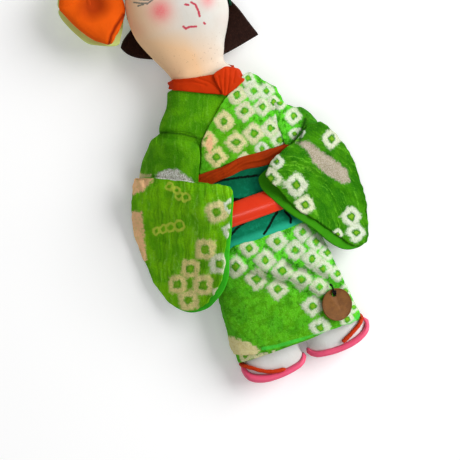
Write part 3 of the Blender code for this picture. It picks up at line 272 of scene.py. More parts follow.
def held_to(moves, most):
    """These moves, with none longer than this."""
    length = np.linalg.norm(moves, axis=1, keepdims=True)
    return moves * np.minimum(1, most / np.maximum(length, 1e-9))


def modify(obj, kind, **settings):
    """Adds a modifier to a piece and applies it."""
    only(obj)
    modifier = obj.modifiers.new(kind.title(), kind)
    for name, value in settings.items():
        setattr(modifier, name, value)
    bpy.ops.object.modifier_apply(modifier=modifier.name)


def subdivide(obj, levels, kind="CATMULL_CLARK"):
    modify(obj, "SUBSURF", levels=levels, render_levels=levels, subdivision_type=kind)


@contextmanager
def edit_mode(obj, picked="VERT"):
    """Edits a piece's mesh, where vertices, edges or faces are what is picked."""
    only(obj)
    bpy.ops.object.mode_set(mode="EDIT")
    bpy.ops.mesh.select_mode(type=picked)
    yield
    bpy.ops.mesh.select_all(action="DESELECT")
    bpy.ops.mesh.select_mode(type="VERT")
    bpy.ops.object.mode_set(mode="OBJECT")


def keep_fullness(obj, rounds=3, share=0.85, most=0.0008):
    """Widens a piece's mesh beforehand, so that it has its solid's full size once it is subdivided."""
    full = points_of(obj)
    modifier = obj.modifiers.new("Trial", "SUBSURF")
    modifier.levels = 2
    for _ in range(rounds):
        trial = obj.evaluated_get(bpy.context.evaluated_depsgraph_get())
        lost = full - points_of(trial)[: len(full)]
        place_points(obj, full + held_to(points_of(obj) + lost * share - full, most))
    obj.modifiers.remove(modifier)


def pull(obj, pulls):
    """Draws parts of a piece sideways: each pull is (x, y, to the left, up, radius), in millimetres as seen."""
    points = points_of(obj)
    places = seen(points)
    for x, y, across, up, radius in pulls:
        far = np.linalg.norm(places - (x, y), axis=1) / radius
        near = np.clip(1 - far**2, 0, 1) ** 2
        points[:, :2] += near[:, None] * np.array((across, up)) * MM
    place_points(obj, points)


def meet(obj, other, reach):
    """Brings the parts of a piece that lie within this reach of another piece up to it."""
    tree = BVHTree.FromObject(other, bpy.context.evaluated_depsgraph_get())
    points = points_of(obj)
    for number, point in enumerate(points):
        hit, _, _, distance = tree.find_nearest(Vector(point), reach)
        if hit:
            near = min(1, 2 - 2 * distance / reach)
            points[number] = point + (np.array(hit) - point) * near * 0.95
    place_points(obj, points)


def refine(obj, near, cuts=1):
    """Cuts the faces of a piece finer where this function says that a thin mark is near."""
    marked = near(seen(points_of(obj)))
    obj.data.vertices.foreach_set("select", marked)
    edges = read(obj.data.edges, "vertices", 2, int)
    obj.data.edges.foreach_set("select", marked[edges].all(axis=1))
    faces = [all(marked[number] for number in face.vertices) for face in obj.data.polygons]
    obj.data.polygons.foreach_set("select", faces)
    with edit_mode(obj, "FACE"):
        bpy.ops.mesh.subdivide(number_cuts=cuts)


def drop_uv_layers(obj):
    for layer in list(obj.data.uv_layers):
        obj.data.uv_layers.remove(layer)


def merged_copy(name, *nodes):
    """A new piece that starts as the merged solids of these nodes."""
    obj, *others = [new_object(name, frame["nodes"][node].data.copy()) for node in nodes]
    only(obj)
    for other in others:
        other.select_set(True)
    if others:
        bpy.ops.object.join()
    obj.name = name
    bpy.ops.mesh.customdata_custom_splitnormals_clear()
    obj.data.materials.clear()
    drop_uv_layers(obj)
    with edit_mode(obj):
        bpy.ops.mesh.select_all(action="SELECT")
        bpy.ops.mesh.remove_doubles(threshold=0.00002)
        bpy.ops.mesh.tris_convert_to_quads(face_threshold=SHARP, shape_threshold=SHARP)
    bpy.ops.object.shade_smooth()
    return obj


def firm_rim(obj, amount):
    """Keeps a sheet's cut edge where it is when the sheet is subdivided."""
    with edit_mode(obj, "EDGE"):
        bpy.ops.mesh.edges_select_sharp(sharpness=SHARP)
        bpy.ops.transform.edge_crease(value=amount)


def new_piece(name, levels, *nodes, rim=None, cuts=0):
    """A piece over its solids. A sheet has a rim, which says how firm its cut edge stays."""
    obj = merged_copy(name, *nodes)
    if cuts:
        subdivide(obj, cuts, "SIMPLE")
    if rim is not None:
        firm_rim(obj, rim)
    if not cuts:
        keep_fullness(obj)
    subdivide(obj, levels)
    return obj


def stuff(obj, voxel, cap, rounds=2, pressure=4.0, steps=20):
    """Swells a stuffed piece as its filling does, with no point moving further than the cap."""
    modify(obj, "REMESH", mode="VOXEL", voxel_size=voxel, use_smooth_shade=True)
    modify(obj, "SMOOTH", factor=0.5, iterations=rounds)
    before = points_of(obj)
    cloth = obj.modifiers.new("Filling", "CLOTH")
    cloth.settings.quality = 4
    cloth.settings.mass = 0.15
    cloth.settings.use_pressure = True
    cloth.settings.uniform_pressure_force = pressure
    cloth.settings.effector_weights.gravity = 0
    cloth.collision_settings.use_collision = False
    cloth.point_cache.frame_start = 1
    cloth.point_cache.frame_end = steps
    for number in range(1, steps + 1):
        bpy.context.scene.frame_set(number)
    only(obj)
    bpy.ops.object.modifier_apply(modifier=cloth.name)
    bpy.context.scene.frame_set(1)
    place_points(obj, before + held_to(points_of(obj) - before, cap))


def press(obj, height_of):
    """Moves each point of a piece along its normal by the height that the function gives."""
    points = points_of(obj)
    normals = normals_of(obj)
    place_points(obj, points + normals * height_of(points, normals)[:, None])


def segment_distance(places, start, end):
    start = np.array(start, float)
    run = np.array(end, float) - start
    share = np.clip(((places - start) @ run) / max(run @ run, 1e-9), 0, 1)
    return np.linalg.norm(places - start - share[:, None] * run, axis=1)


def stroke_distance(places, strokes):
    """How far each place is from the nearest of these strokes."""
    nearest = np.full(len(places), FAR)
    for stroke in strokes:
        for start, end in zip(stroke, stroke[1:]):
            nearest = np.minimum(nearest, segment_distance(places, start, end))
    return nearest


def patch_distance(places, patches):
    """How far each place is outside the nearest patch, below zero inside it."""
    nearest = np.full(len(places), FAR)
    for corners in patches:
        edges = list(zip(corners, corners[1:] + corners[:1]))
        outside = stroke_distance(places, edges)
        inside = np.zeros(len(places), bool)
        for (x1, y1), (x2, y2) in edges:
            crosses = (y1 > places[:, 1]) != (y2 > places[:, 1])
            level = (x2 - x1) * (places[:, 1] - y1) / ((y2 - y1) or 1e-9) + x1
            inside ^= crosses & (places[:, 0] < level)
        nearest = np.minimum(nearest, np.where(inside, -outside, outside))
    return nearest


def chain_distance(places, chains):
    nearest = np.full(len(places), FAR)
    for x, y, radius in chains:
        nearest = np.minimum(nearest, abs(np.linalg.norm(places - (x, y), axis=1) - radius))
    return nearest


def ring_marks(places, rings):
    """Each place's share of the way out in its nearest dyed ring, its position there, and the ring's whiteness."""
    marks = {name: np.zeros(len(places)) for name in ("share", "ring_x", "ring_y", "white", "seed")}
    marks["share"] += FAR
    for number, (x, y, radius, turn, whiteness) in enumerate(rings):
        cos, sin = math.cos(math.radians(turn)), math.sin(math.radians(turn))
        off = (places - (x, y)) / radius
        u, v = off @ np.array((cos, sin)), off @ np.array((-sin, cos))
        out = (abs(u) ** RING_SQUARENESS + abs(v) ** RING_SQUARENESS) ** (1 / RING_SQUARENESS)
        closer = out < marks["share"]
        for name, value in zip(marks, (out, u, v, whiteness, number * 3.7)):
            marks[name] = np.where(closer, value, marks[name])
    return marks


def mark(obj, name, values):
    """Writes values for a piece's points, or one for them all, which its material reads under this name."""
    written = obj.data.attributes.new(name, "FLOAT", "POINT")
    written.data.foreach_set("value", np.full(len(obj.data.vertices), values, np.float32))


def streak_upright(places):
    """Crinkles that run straight up the picture."""
    return places @ np.array((math.cos(CAMERA_TURN), math.sin(CAMERA_TURN)))


def streak_round(places):
    """Crinkles that sweep round the left wrist."""
    return np.linalg.norm(places - (12, 72), axis=1)


def dye(obj, rings=(), chains=(), peach=(), pale=(), rims=(), shaded_folds=(), streak=streak_upright,
        ground=0.0, crinkled=1.0, pucker=0.0, bleach=0.0):
    """Puckers a piece of kimono crepe at its dyed rings, and writes where its dyed marks and its painted fold and
    seam shade lie.
    """
    if chains:
        refine(obj, lambda places: chain_distance(places, chains) < 1.6)
    refine(obj, lambda places: stroke_distance(places, [stroke for stroke, _, _ in shaded_folds]) < 3.0)
    points = points_of(obj)
    places = seen(points)
    marks = ring_marks(places, rings)
    share = marks["share"]
    height = np.exp(-((share / 0.42) ** 2)) - 0.6 * np.exp(-(((share - 1.05) / 0.2) ** 2))
    if pucker:
        press(obj, lambda points, normals: pucker * height)
    shift = np.stack((wander(points, 0.0022, 4), wander(points, 0.0022, 9)), axis=1)
    # Painted shade in folds and seams, strongest on each stroke and fading over its width
    fold = np.zeros(len(places))
    for stroke, strength, width in shaded_folds:
        fold = np.maximum(fold, strength * np.exp(-((stroke_distance(places, (stroke,)) / width) ** 2)))
    marks.update(
        chain=chain_distance(places + shift * 0.7, chains), peach=patch_distance(places, peach),
        pale=patch_distance(places, pale), rim=stroke_distance(places, rims), fold=fold,
        streak=streak(places), ground=ground(places) if callable(ground) else ground,
        crinkled=crinkled, bleach=bleach,
    )
    for name, values in marks.items():
        mark(obj, name, values)


# Node trees


class Value:
    """An output in a node tree, so that sums of such values are written as sums."""

    def __init__(self, socket):
        self.socket = socket
        self.tree = socket.id_data

    def __getitem__(self, name):
        """Another output of the node that this value comes from."""
        return Value(self.socket.node.outputs[name])

    def __add__(self, other):
        return self.maths("ADD", other)

    def __sub__(self, other):
        return self.maths("SUBTRACT", other)

    def __mul__(self, other):
        return self.maths("MULTIPLY", other)

    def __truediv__(self, other):
        return self.maths("DIVIDE", other)

    def maths(self, operation, other):
        return add(self.tree, "Math", 0, {0: self, 1: other}, operation=operation)

    def step(self, low, high, to_low=0.0, to_high=1.0):
        """A smooth step of this value from one level to another."""
        inputs = {"Value": self, "From Min": low, "From Max": high, "To Min": to_low, "To Max": to_high}
        return add(self.tree, "MapRange", "Result", inputs, interpolation_type="SMOOTHSTEP")

    def mix(self, first, second):
        """The first colour where this value is 0, and the second where it is 1."""
        inputs = {0: self, 6: first, 7: second}
        return add(self.tree, "Mix", 2, inputs, data_type="RGBA", blend_type="MIX", clamp_factor=True)


def add(tree, kind, output, inputs=None, **settings):
    """Adds a node with these settings and inputs, and gives one of its outputs as a value."""
    node = tree.nodes.new("ShaderNode" + kind)
    for name, value in settings.items():
        setattr(node, name, value)
    for name, value in (inputs or {}).items():
        if isinstance(value, Value):
            tree.links.new(value.socket, node.inputs[name])
        else:
            node.inputs[name].default_value = value
    return Value(node.outputs[output])


def paint(under, *layers):
    """Lays paints over a colour, each as its share and its colour."""
    for share, over in layers:
        under = share.mix(under, over)
    return under


def attribute(tree, name):
    return add(tree, "Attribute", "Fac", attribute_name=name)


def grain(vector, scale, detail=2.0, roughness=0.5):
    inputs = {"Vector": vector, "Scale": scale, "Detail": detail, "Roughness": roughness}
    return add(vector.tree, "TexNoise", "Fac", inputs)


def millimetres(tree, stretch=(1, 1, 1)):
    """The piece's own coordinates in millimetres, stretched along its axes."""
    place = add(tree, "TexCoord", "Object")
    scale = [share / MM for share in stretch]
    return add(tree, "Mapping", "Vector", {"Vector": place, "Scale": scale})


def new_group(name, numbers, colours):
    """An empty shader group with these inputs, and the function that gives out its colour and height."""
    tree = bpy.data.node_groups.new(name, "ShaderNodeTree")
    for kind, inputs in (("Float", numbers), ("Color", colours)):
        for input_name, value in inputs.items():
            socket = tree.interface.new_socket(input_name, in_out="INPUT", socket_type="NodeSocket" + kind)
            socket.default_value = value
    for output_name, kind in (("colour", "Color"), ("height", "Float")):
        tree.interface.new_socket(output_name, in_out="OUTPUT", socket_type="NodeSocket" + kind)
    given = {socket.name: Value(socket) for socket in tree.nodes.new("NodeGroupInput").outputs}
    ends = tree.nodes.new("NodeGroupOutput").inputs

    def give_out(painted, height):
        tree.links.new(painted.socket, ends["colour"])
        tree.links.new(height.socket, ends["height"])
        return tree

    return tree, given, give_out


def make_crepe_group():
    """Tie-dyed crepe: a mottled green ground with crinkles, dyed rings, chains and bare patches, with painted shade
    in its folds and seams.
    """
    tree, given, give_out = new_group(
        "tie_dyed_crepe",
        dict.fromkeys(FAR_MARKS, FAR) | dict.fromkeys(PLAIN_MARKS, 0.0),
        {
            "plain": colour(100, 176, 14), "deep": colour(72, 146, 8), "bright": colour(140, 206, 74),
            "fuzz": colour(96, 222, 44), "fuzz_deep": colour(60, 160, 18),
        },
    )
    place = millimetres(tree)
    fine = grain(place, 1.5, 3.0, 0.65)
    flecks = grain(place, 2.6, 2.0, 0.6)
    coarse = grain(place, 0.13, 3.0)
    spots = grain(place, 0.6, 4.0, 0.65)
    broad = grain(place, 0.3, 2.0)
    apart = add(tree, "SeparateXYZ", "X", {"Vector": place})
    lines_at = add(tree, "CombineXYZ", "Vector", {
        "X": given["streak"] + coarse * 5.0, "Y": apart["X"] * 0.06, "Z": apart["Y"] * 0.06,
    })
    lines = grain(lines_at, 0.9, 3.0, 0.6)
    light_lines = lines.step(0.54, 0.66) * spots.step(0.38, 0.6) * given["crinkled"]
    dark_lines = lines.step(0.46, 0.36) * given["crinkled"]
    smooth = paint(
        coarse.step(0.38, 0.62).mix(given["deep"], given["plain"]),
        (fine.step(0.58, 0.4, 0.0, 0.4), given["deep"]),
        (flecks.step(0.56, 0.7, 0.0, 0.45), given["bright"]),
        (light_lines * 0.75, given["bright"]),
        (dark_lines * 0.35, colour(36, 96, 4)),
    )
    fuzzy = paint(
        broad.step(0.4, 0.58).mix(given["fuzz_deep"], given["fuzz"]),
        (spots.step(0.46, 0.36, 0.0, 0.6), colour(24, 104, 8)),
        (fine.step(0.52, 0.66, 0.0, 0.6), colour(130, 226, 92)),
        (flecks.step(0.46, 0.36, 0.0, 0.5), colour(30, 112, 8)),
    )

    spoke = (given["share"] / 3.4).maths("MAXIMUM", 0.02)
    hairs_at = add(tree, "CombineXYZ", "Vector", {
        "X": given["ring_x"] / spoke, "Y": given["ring_y"] / spoke, "Z": given["seed"] + given["share"],
    })
    spread = (grain(hairs_at, 1.3, 2.0, 0.6) - 0.5) * 0.3
    ragged = (spots - 0.5) * 0.5 + (fine - 0.5) * 0.4
    bent = (broad - 0.5) * 0.4
    inner = given["share"] + (ragged * 0.35 + bent)
    outer = given["share"] + (ragged + (spread + bent))
    band = inner.step(0.26, 0.52) * outer.step(1.1, 0.76)
    bare = paint(
        given["white"].mix(colour(255, 228, 150), colour(222, 232, 216)),
        (fine.step(0.58, 0.4, 0.0, 0.4), colour(160, 178, 88)),
        (spots.step(0.5, 0.36, 0.0, 0.28), colour(116, 160, 62)),
        (flecks.step(0.5, 0.62, 0.0, 0.7) * given["white"], colour(236, 240, 234)),
    )
    peach = paint(
        given["bleach"].mix(colour(250, 198, 146), colour(228, 218, 158)),
        (spots.step(0.45, 0.62, 0.0, 0.5), colour(206, 190, 116)),
    )
    pale = paint(
        given["bleach"].mix(colour(182, 170, 152), colour(238, 238, 234)),
        (fine.step(0.56, 0.42, 0.0, 0.75), colour(136, 130, 98)),
        (flecks.step(0.58, 0.7, 0.0, 0.6), colour(228, 226, 218)),
    )
    edge = (spots - 0.5) * 4.0 + (fine - 0.5) * 1.2
    painted = paint(
        given["ground"].mix(smooth, fuzzy),
        (inner.step(0.46, 0.3) * 0.35, colour(60, 134, 12)),
        (inner.step(0.28, 0.12, 0.0, 0.7), colour(136, 188, 44)),
        (band * 0.9, bare),
        ((given["chain"] + ragged).step(0.9, 0.25, 0.0, 0.9), colour(192, 216, 72)),
        ((given["peach"] + edge).step(0.8, -0.8), peach),
        ((given["pale"] + edge).step(0.8, -0.8), pale),
        ((given["rim"] + ragged).step(1.2, 0.5, 0.0, 0.65), colour(70, 214, 72)),
        # Painted shade in folds and seams
        (given["fold"], colour(24, 62, 6)),
    )
    height = fine * 0.6 + lines * given["crinkled"] * 1.1 + spots * 0.7 + band * 0.25 + flecks * 0.3
    return give_out(painted, height)


def make_weave_group():
    """Plain woven cloth: two sets of threads, slubs in them and a soft unevenness of the colour."""
    colours = {"main": colour(240, 232, 220), "deep": colour(200, 190, 170)}
    tree, given, give_out = new_group("plain_weave", {"thread": 0.45}, colours)
    place = millimetres(tree)
    wide = add(tree, "Math", 0, {0: 0.314, 1: given["thread"]}, operation="DIVIDE")
    waves = {"Vector": place, "Scale": wide, "Distortion": 0.6}
    across, along = (add(tree, "TexWave", "Fac", waves, bands_direction=axis) for axis in "XY")
    threads = across * along
    slubs = grain(millimetres(tree, (1.4, 0.25, 1)), 0.8, 2.0)
    coarse = grain(place, 0.12, 2.0)
    cloth = paint(
        given["main"],
        (coarse.step(0.3, 0.7, 0.0, 0.3), given["deep"]),
        (slubs.step(0.6, 0.75, 0.0, 0.25), given["deep"]),
        (threads * 0.12, given["deep"]),
    )
    return give_out(cloth, threads * 0.35 + slubs * 0.5 + coarse)


def make_fibre_group():
    """Felted or brushed fibre: short hairs in all directions."""
    colours = {"main": colour(60, 36, 28), "light": colour(90, 58, 44)}
    tree, given, give_out = new_group("fibres", {}, colours)
    place = millimetres(tree)
    twist = add(tree, "TexNoise", "Color", {"Vector": place, "Scale": 0.3, "Detail": 2.0})
    bent = add(tree, "VectorMath", 0, {0: twist, 1: (2.0, 2.0, 2.0)}, operation="MULTIPLY")
    bent = add(tree, "VectorMath", 0, {0: place, 1: bent}, operation="ADD")
    thin = add(tree, "VectorMath", 0, {0: bent, 1: (3.0, 0.5, 3.0)}, operation="MULTIPLY")
    hairs = grain(thin, 1.2, 3.0, 0.6)
    coarse = grain(place, 0.2, 2.0)
    share = hairs.step(0.45, 0.7) * coarse.step(0.2, 0.8, 0.4, 1.0)
    return give_out(share.mix(given["main"], given["light"]), hairs + coarse * 0.5)


CREPE = make_crepe_group()
WEAVE = make_weave_group()
FIBRES = make_fibre_group()
HAIR_BROWN = colour(40, 22, 17)


def new_finish(name, roughness, bump, depth, specular=0.12, metallic=0.0):
    """A material's node tree, and the function that joins a colour and a height to its shader."""
    material = bpy.data.materials.new(name)
    material.use_nodes = True
    tree = material.node_tree
    shader = tree.nodes["Principled BSDF"].inputs
    shader["Roughness"].default_value = roughness
    shader["Specular IOR Level"].default_value = specular
    shader["Metallic"].default_value = metallic

    def join(painted, height):
        tree.links.new(painted.socket, shader["Base Color"])
        raised = add(tree, "Bump", "Normal", {"Strength": bump, "Distance": depth, "Height": height})
        tree.links.new(raised.socket, shader["Normal"])
        return material

    return tree, join


def crepe_finish(name, **colours):
    tree, join = new_finish(name, 0.9, 0.8, 0.0006, 0.08)
    marks = {mark_name: attribute(tree, mark_name) for mark_name in FAR_MARKS + PLAIN_MARKS}
    painted = add(tree, "Group", "colour", marks | colours, node_tree=CREPE)
    return join(painted, painted["height"])


def cloth_finish(name, main, deep, thread=0.45, roughness=0.85, bump=0.5, depth=0.0003, extra=None,
                 specular=0.12):
    tree, join = new_finish(name, roughness, bump, depth, specular)
    cloth = add(tree, "Group", "colour", {"main": main, "deep": deep, "thread": thread}, node_tree=WEAVE)
    return join(extra(tree, cloth) if extra else cloth, cloth["height"])


def fibre_finish(name, main, light, roughness=0.7):
    tree, join = new_finish(name, roughness, 0.5, 0.0004)
    fibres = add(tree, "Group", "colour", {"main": main, "light": light}, node_tree=FIBRES)
    return join(fibres, fibres["height"])


def face_marks(tree, cloth):
    """The blushes, the lashes and the red strokes of the nose and the mouth, rubbed into the cloth."""
    place = millimetres(tree)
    rough = (grain(place, 1.6, 3.0) - 0.5) * 0.7
    specks = grain(place, 0.9, 1.0).step(0.68, 0.74, 0.0, 0.35)
    return paint(
        cloth,
        # Painted light and shade: a warm peach tint over the face's right side, standing for warm light, and under
        # the chin, standing for shade
        (attribute(tree, "painted_warm_light_and_shade"), colour(252, 208, 162)),
        (attribute(tree, "blush") * (rough + 1.0), colour(246, 92, 108)),
        ((attribute(tree, "lash") + rough).step(0.6, 0.15, 0.0, 0.8), colour(66, 92, 92)),
        ((attribute(tree, "mouth") + rough).step(0.8, 0.28, 0.0, 0.92), colour(196, 26, 66)),
        # Brown specks over the chin and the neck
        (specks * attribute(tree, "lower_face_specks"), colour(150, 112, 84)),
        (attribute(tree, "crown"), HAIR_BROWN),
    )


def bow_marks(tree, cloth):
    """Painted shade: deeper orange in the hollow of the bow, over its knot, and along its fold."""
    return paint(
        cloth, (attribute(tree, "hollow"), colour(172, 56, 0)), (attribute(tree, "painted_crease_shade"), colour(120, 22, 4))
    )


def obi_marks(tree, cloth):
    """A brighter lower edge, painted shade over the upper part, and black lines: brush strokes, and painted shadow
    lines under the obiage and above the cord.
    """
    place = millimetres(tree)
    rough = (grain(place, 1.2, 3.0) - 0.5) * 0.7
    return paint(
        cloth,
        (grain(place, 0.5, 3.0).step(0.45, 0.7, 0.0, 0.35), colour(34, 168, 128)),
        (attribute(tree, "edge"), colour(44, 178, 140)),
        (attribute(tree, "shadow"), colour(2, 84, 54)),
        ((attribute(tree, "stroke") + rough).step(0.85, 0.4), colour(6, 22, 16)),
    )


def copper_finish():
    """Aged copper: brushed, cloudy in tone, with fine scratches."""
    tree, join = new_finish("aged_copper", 0.5, 0.35, 0.00015, 0.3, 0.3)
    cloudy = grain(millimetres(tree), 0.25, 4.0, 0.6)
    brushed = grain(millimetres(tree, (0.2, 3.0, 1.0)), 1.5, 2.0)
    tone = cloudy.step(0.35, 0.65).mix(colour(98, 60, 16), colour(114, 72, 24))
    return join(paint(tone, (brushed.step(0.5, 0.75, 0.0, 0.4), colour(138, 86, 40))), brushed)


FINISHES = {
    "kimono": crepe_finish("kimono_crepe"),
    # Painted light and shade: the right sleeve's crepe is painted lighter and the left sleeve's darker than the
    # kimono's, evening out the key lamp that stands on the doll's left
    "right sleeve": crepe_finish("right_sleeve_crepe_painted_lighter", plain=colour(124, 198, 14), deep=colour(94, 170, 6)),
    "left sleeve": crepe_finish(
        "left_sleeve_crepe_painted_darker", plain=colour(66, 140, 6), deep=colour(42, 112, 4), bright=colour(112, 190, 46)
    ),
    "right lining": cloth_finish("right_lining_cloth", colour(66, 196, 40), colour(34, 140, 14), 0.6, 0.85, 0.6),
    "left lining": cloth_finish("left_lining_cloth", colour(60, 144, 14), colour(40, 112, 6), 0.6, 0.85, 0.6),
    "face": cloth_finish(
        "face_cotton", colour(220, 222, 218), colour(206, 202, 190), 0.4, 0.9, 0.35, 0.0002, face_marks, 0.08
    ),
    "cotton": cloth_finish("body_cotton", colour(228, 220, 204), colour(196, 186, 164), 0.5),
    "tabi": cloth_finish("tabi_cotton", colour(226, 226, 224), colour(206, 200, 192), 0.45, 0.9, 0.5),
    "collar": cloth_finish("collar_crepe_cloth", colour(206, 58, 4), colour(168, 38, 2), 0.5, 0.85, 0.6),
    "scarf": cloth_finish("scarf_crepe_cloth", colour(176, 60, 6), colour(108, 32, 3), 0.5, 0.8, 0.6),
    "obi": cloth_finish("obi_cloth_teal", colour(6, 124, 88), colour(3, 98, 66), 0.6, 0.85, 0.6, 0.0003, obi_marks),
    "cord": cloth_finish(
        "glossy_cord", colour(240, 58, 16), colour(220, 44, 10), 0.5, 0.22, 0.12, 0.0002, None, 0.5
    ),
    "hair": fibre_finish("hair_felt_brown", HAIR_BROWN, colour(66, 40, 30), 0.6),
    "band": cloth_finish("headband_green", colour(18, 66, 46), colour(8, 44, 28), 0.5),
    "bow": cloth_finish(
        "bow_crepe_orange", colour(248, 98, 14), colour(226, 78, 4), 0.6, 0.8, 0.5, 0.0003, bow_marks
    ),
    "lime": cloth_finish("bow_lining_lime", colour(222, 244, 146), colour(198, 226, 116), 0.5),
    "sole": cloth_finish("sole_pink", colour(246, 92, 128), colour(222, 66, 104), 0.4, 0.45, 0.2, 0.0002, None, 0.4),
    "strap": fibre_finish("strap_orange", colour(196, 52, 14), colour(226, 86, 40)),
    "thread": fibre_finish("black_cotton_thread", colour(14, 14, 14), colour(44, 44, 44)),
    "copper": copper_finish(),
}


def hand_over(obj, finish, slot, body, *nodes):
    """Gives a finished piece its material, its body and the solids that it stands for; the slot is not used."""
    obj.data.materials.clear()
    obj.data.materials.append(FINISHES[finish])
    only(obj)
    bpy.ops.object.shade_smooth()
    if body:
        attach(obj, body)
    if nodes:
        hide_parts(*nodes)


def groove(points, strokes, depth, width):
    """How deep a fold dips at each point: the depth on its strokes, fading over its width in millimetres."""
    return -depth * np.exp(-((stroke_distance(seen(points), strokes) / width) ** 2))


def rough_edge(points, normals):
    """The puckered outline of crepe."""
    return (1 - abs(normals[:, 2])) * (wander(points, 0.0032, 5) * 0.0007 + wander(points, 0.009, 7) * 0.0004)


def facing(normals):
    return np.clip(normals[:, 2] * 2 + 0.4, 0, 1)


def panel_ground(places):
    """The front panel's crepe grows brighter and fuzzier towards its shoulder."""
    return np.clip((places[:, 0] + 0.5 * (places[:, 1] - 130) + 4) / 26, 0.3, 0.95)


def skirt_ground(places):
    """The skirt's crepe is bright and fuzzy above the diagonal fold, and plain below it."""
    return np.clip((places[:, 1] - (50 - 0.95 * places[:, 0]) + 16) / 18, 0.4, 1)


def cap_ground(places):
    """The left sleeve is fuzzy where it joins the front panel."""
    return np.clip((42 - places[:, 0]) / 8, 0.1, 0.9)


def make_kimono():
    bodice = new_piece("bodice_cloth", 2, "kimono_bodice", rim=SOFT_RIM)
    press(bodice, lambda p, n: wander(p, 0.009, 3) * 0.0003)
    pull(bodice, BODICE_PULLS)
    dye(bodice, crinkled=0.5, shaded_folds=SHOULDER_SEAM_SHADE)
    hand_over(bodice, "kimono", "green_crepe", "doll_body", "kimono_bodice")

    panel = new_piece("bodice_front_cloth", 3, "bodice_left_panel", rim=SOFT_RIM)
    points = points_of(panel)
    places = seen(points)
    wide = np.clip((places[:, 0] - 20) / 10, 0, 1) * np.clip((places[:, 1] - 112) / 12, 0, 1)
    points[:, 0] += wide * 0.0022
    place_points(panel, points)
    press(panel, rough_edge)
    press(panel, lambda p, n: facing(n) * (
        wander(p, 0.007, 8) * 0.0003 + wander(p, 0.0028, 1) * 0.0002 + groove(p, PANEL_FOLDS, 0.0006, 1.3)))
    dye(panel, PANEL_RINGS, peach=PANEL_PEACH, ground=panel_ground, crinkled=0.15, pucker=PUCKER)
    hand_over(panel, "kimono", "dyed_crepe", "doll_body", "bodice_left_panel")

    skirt = new_piece("skirt_cloth", 2, "kimono_skirt", rim=SOFT_RIM)
    press(skirt, lambda p, n: wander(p, 0.011, 5) * 0.0003)
    dye(skirt, BACK_RINGS + HEM_RINGS, crinkled=0.2, ground=0.4)
    hand_over(skirt, "kimono", "green_crepe", "doll_body", "kimono_skirt")

    front = new_piece("skirt_front_cloth", 3, "skirt_front_panel", rim=SOFT_RIM)
    press(front, rough_edge)
    press(front, lambda p, n: facing(n) * (
        wander(p, 0.009, 2) * 0.0005 + wander(p, 0.0026, 6) * 0.0002 + groove(p, SKIRT_FOLDS, 0.0015, 2.6)))
    # The diagonal folds are pressed in, and painted in shade at half strength
    dye(front, SKIRT_RINGS, peach=SKIRT_PEACH, rims=SKIRT_HEM, shaded_folds=[(stroke, 0.5, 1.9) for stroke in SKIRT_FOLDS],
        ground=skirt_ground, crinkled=0.15, pucker=PUCKER, bleach=1.0)
    hand_over(front, "kimono", "dyed_crepe", "doll_body", "skirt_front_panel")
    return bodice, panel


def make_collar():
    for side in ("right", "left"):
        collar = new_piece(side + "_collar_cloth", 3, "collar_" + side, rim=0.0, cuts=1)
        pull(collar, COLLAR_PULLS)
        pull(collar, COLLAR_CORNERS)
        modify(collar, "SMOOTH", factor=0.5, iterations=12)
        press(collar, lambda p, n: facing(n) * (
            wander(p, 0.005, 7) * 0.0003 + groove(p, COLLAR_CREASES, 0.0004, 0.5)))
        hand_over(collar, "collar", "collar_crepe", "doll_body", "collar_" + side)


def make_waist():
    obi = new_piece("obi_cloth", 3, "obi", rim=SOFT_RIM)
    press(obi, lambda p, n: (
        wander(p * (1, 0.6, 1), 0.012, 4) * 0.0003 + facing(n) * groove(p, OBI_FOLDS, 0.0005, 0.8)))
    refine(obi, lambda places: stroke_distance(places, OBI_STROKES_AND_SHADOW_LINES) < 2.5)
    places = seen(points_of(obi))
    # Black brush strokes and painted shadow lines, and painted shade over the upper obi below the obiage
    mark(obi, "stroke", stroke_distance(places, OBI_STROKES_AND_SHADOW_LINES))
    mark(obi, "edge", np.clip((74.4 - places[:, 1]) / 1.6, 0, 1))
    mark(obi, "shadow", np.clip((places[:, 1] - 96) / 9, 0, 0.6))
    hand_over(obi, "obi", "obi_cloth", "doll_body", "obi")

    for name in ("obi_knot", "obi_knot_tail"):
        knot = merged_copy(name + "_cloth", name)
        firm_rim(knot, 0.6)
        subdivide(knot, 2, "SIMPLE")
        subdivide(knot, 2)
        for mark_name, value in (("stroke", FAR), ("edge", 0.0), ("shadow", 0.0)):
            mark(knot, mark_name, value)
        hand_over(knot, "obi", "obi_cloth", "doll_body", name)

    scarf = new_piece("obiage_cloth", 4, "obiage", rim=SOFT_RIM)

    def pleats(points, normals):
        along = points[:, 1] - points[:, 0] * 0.12 + wander(points * (0.5, 1, 1), 0.01, 5) * 0.002
        return np.sin(along / 0.00055) * 0.0004 + wander(points * (0.6, 1, 1), 0.006, 9) * 0.0006

    press(scarf, pleats)
    points = points_of(scarf)
    sway = np.sin(points[:, 0] / 0.0052 + 1.1) * 0.0007 + np.sin(points[:, 0] / 0.0027) * 0.0003
    points[:, 1] += sway * np.clip((points[:, 2] - 0.012) / 0.008, 0, 1)
    place_points(scarf, points)
    hand_over(scarf, "scarf", "scarf_crepe", "doll_body", "obiage")

    cord = new_piece("obijime_cord", 3, "obijime")
    points = points_of(cord)
    slope = (seen(points)[:, 1] - 87 + points[:, 0] / MM * 0.02) / 5
    press(cord, lambda p, n: facing(n) * np.clip(1 - slope**2, 0, 1) * 0.0011)
    hand_over(cord, "cord", "satin_cord", "doll_body", "obijime")


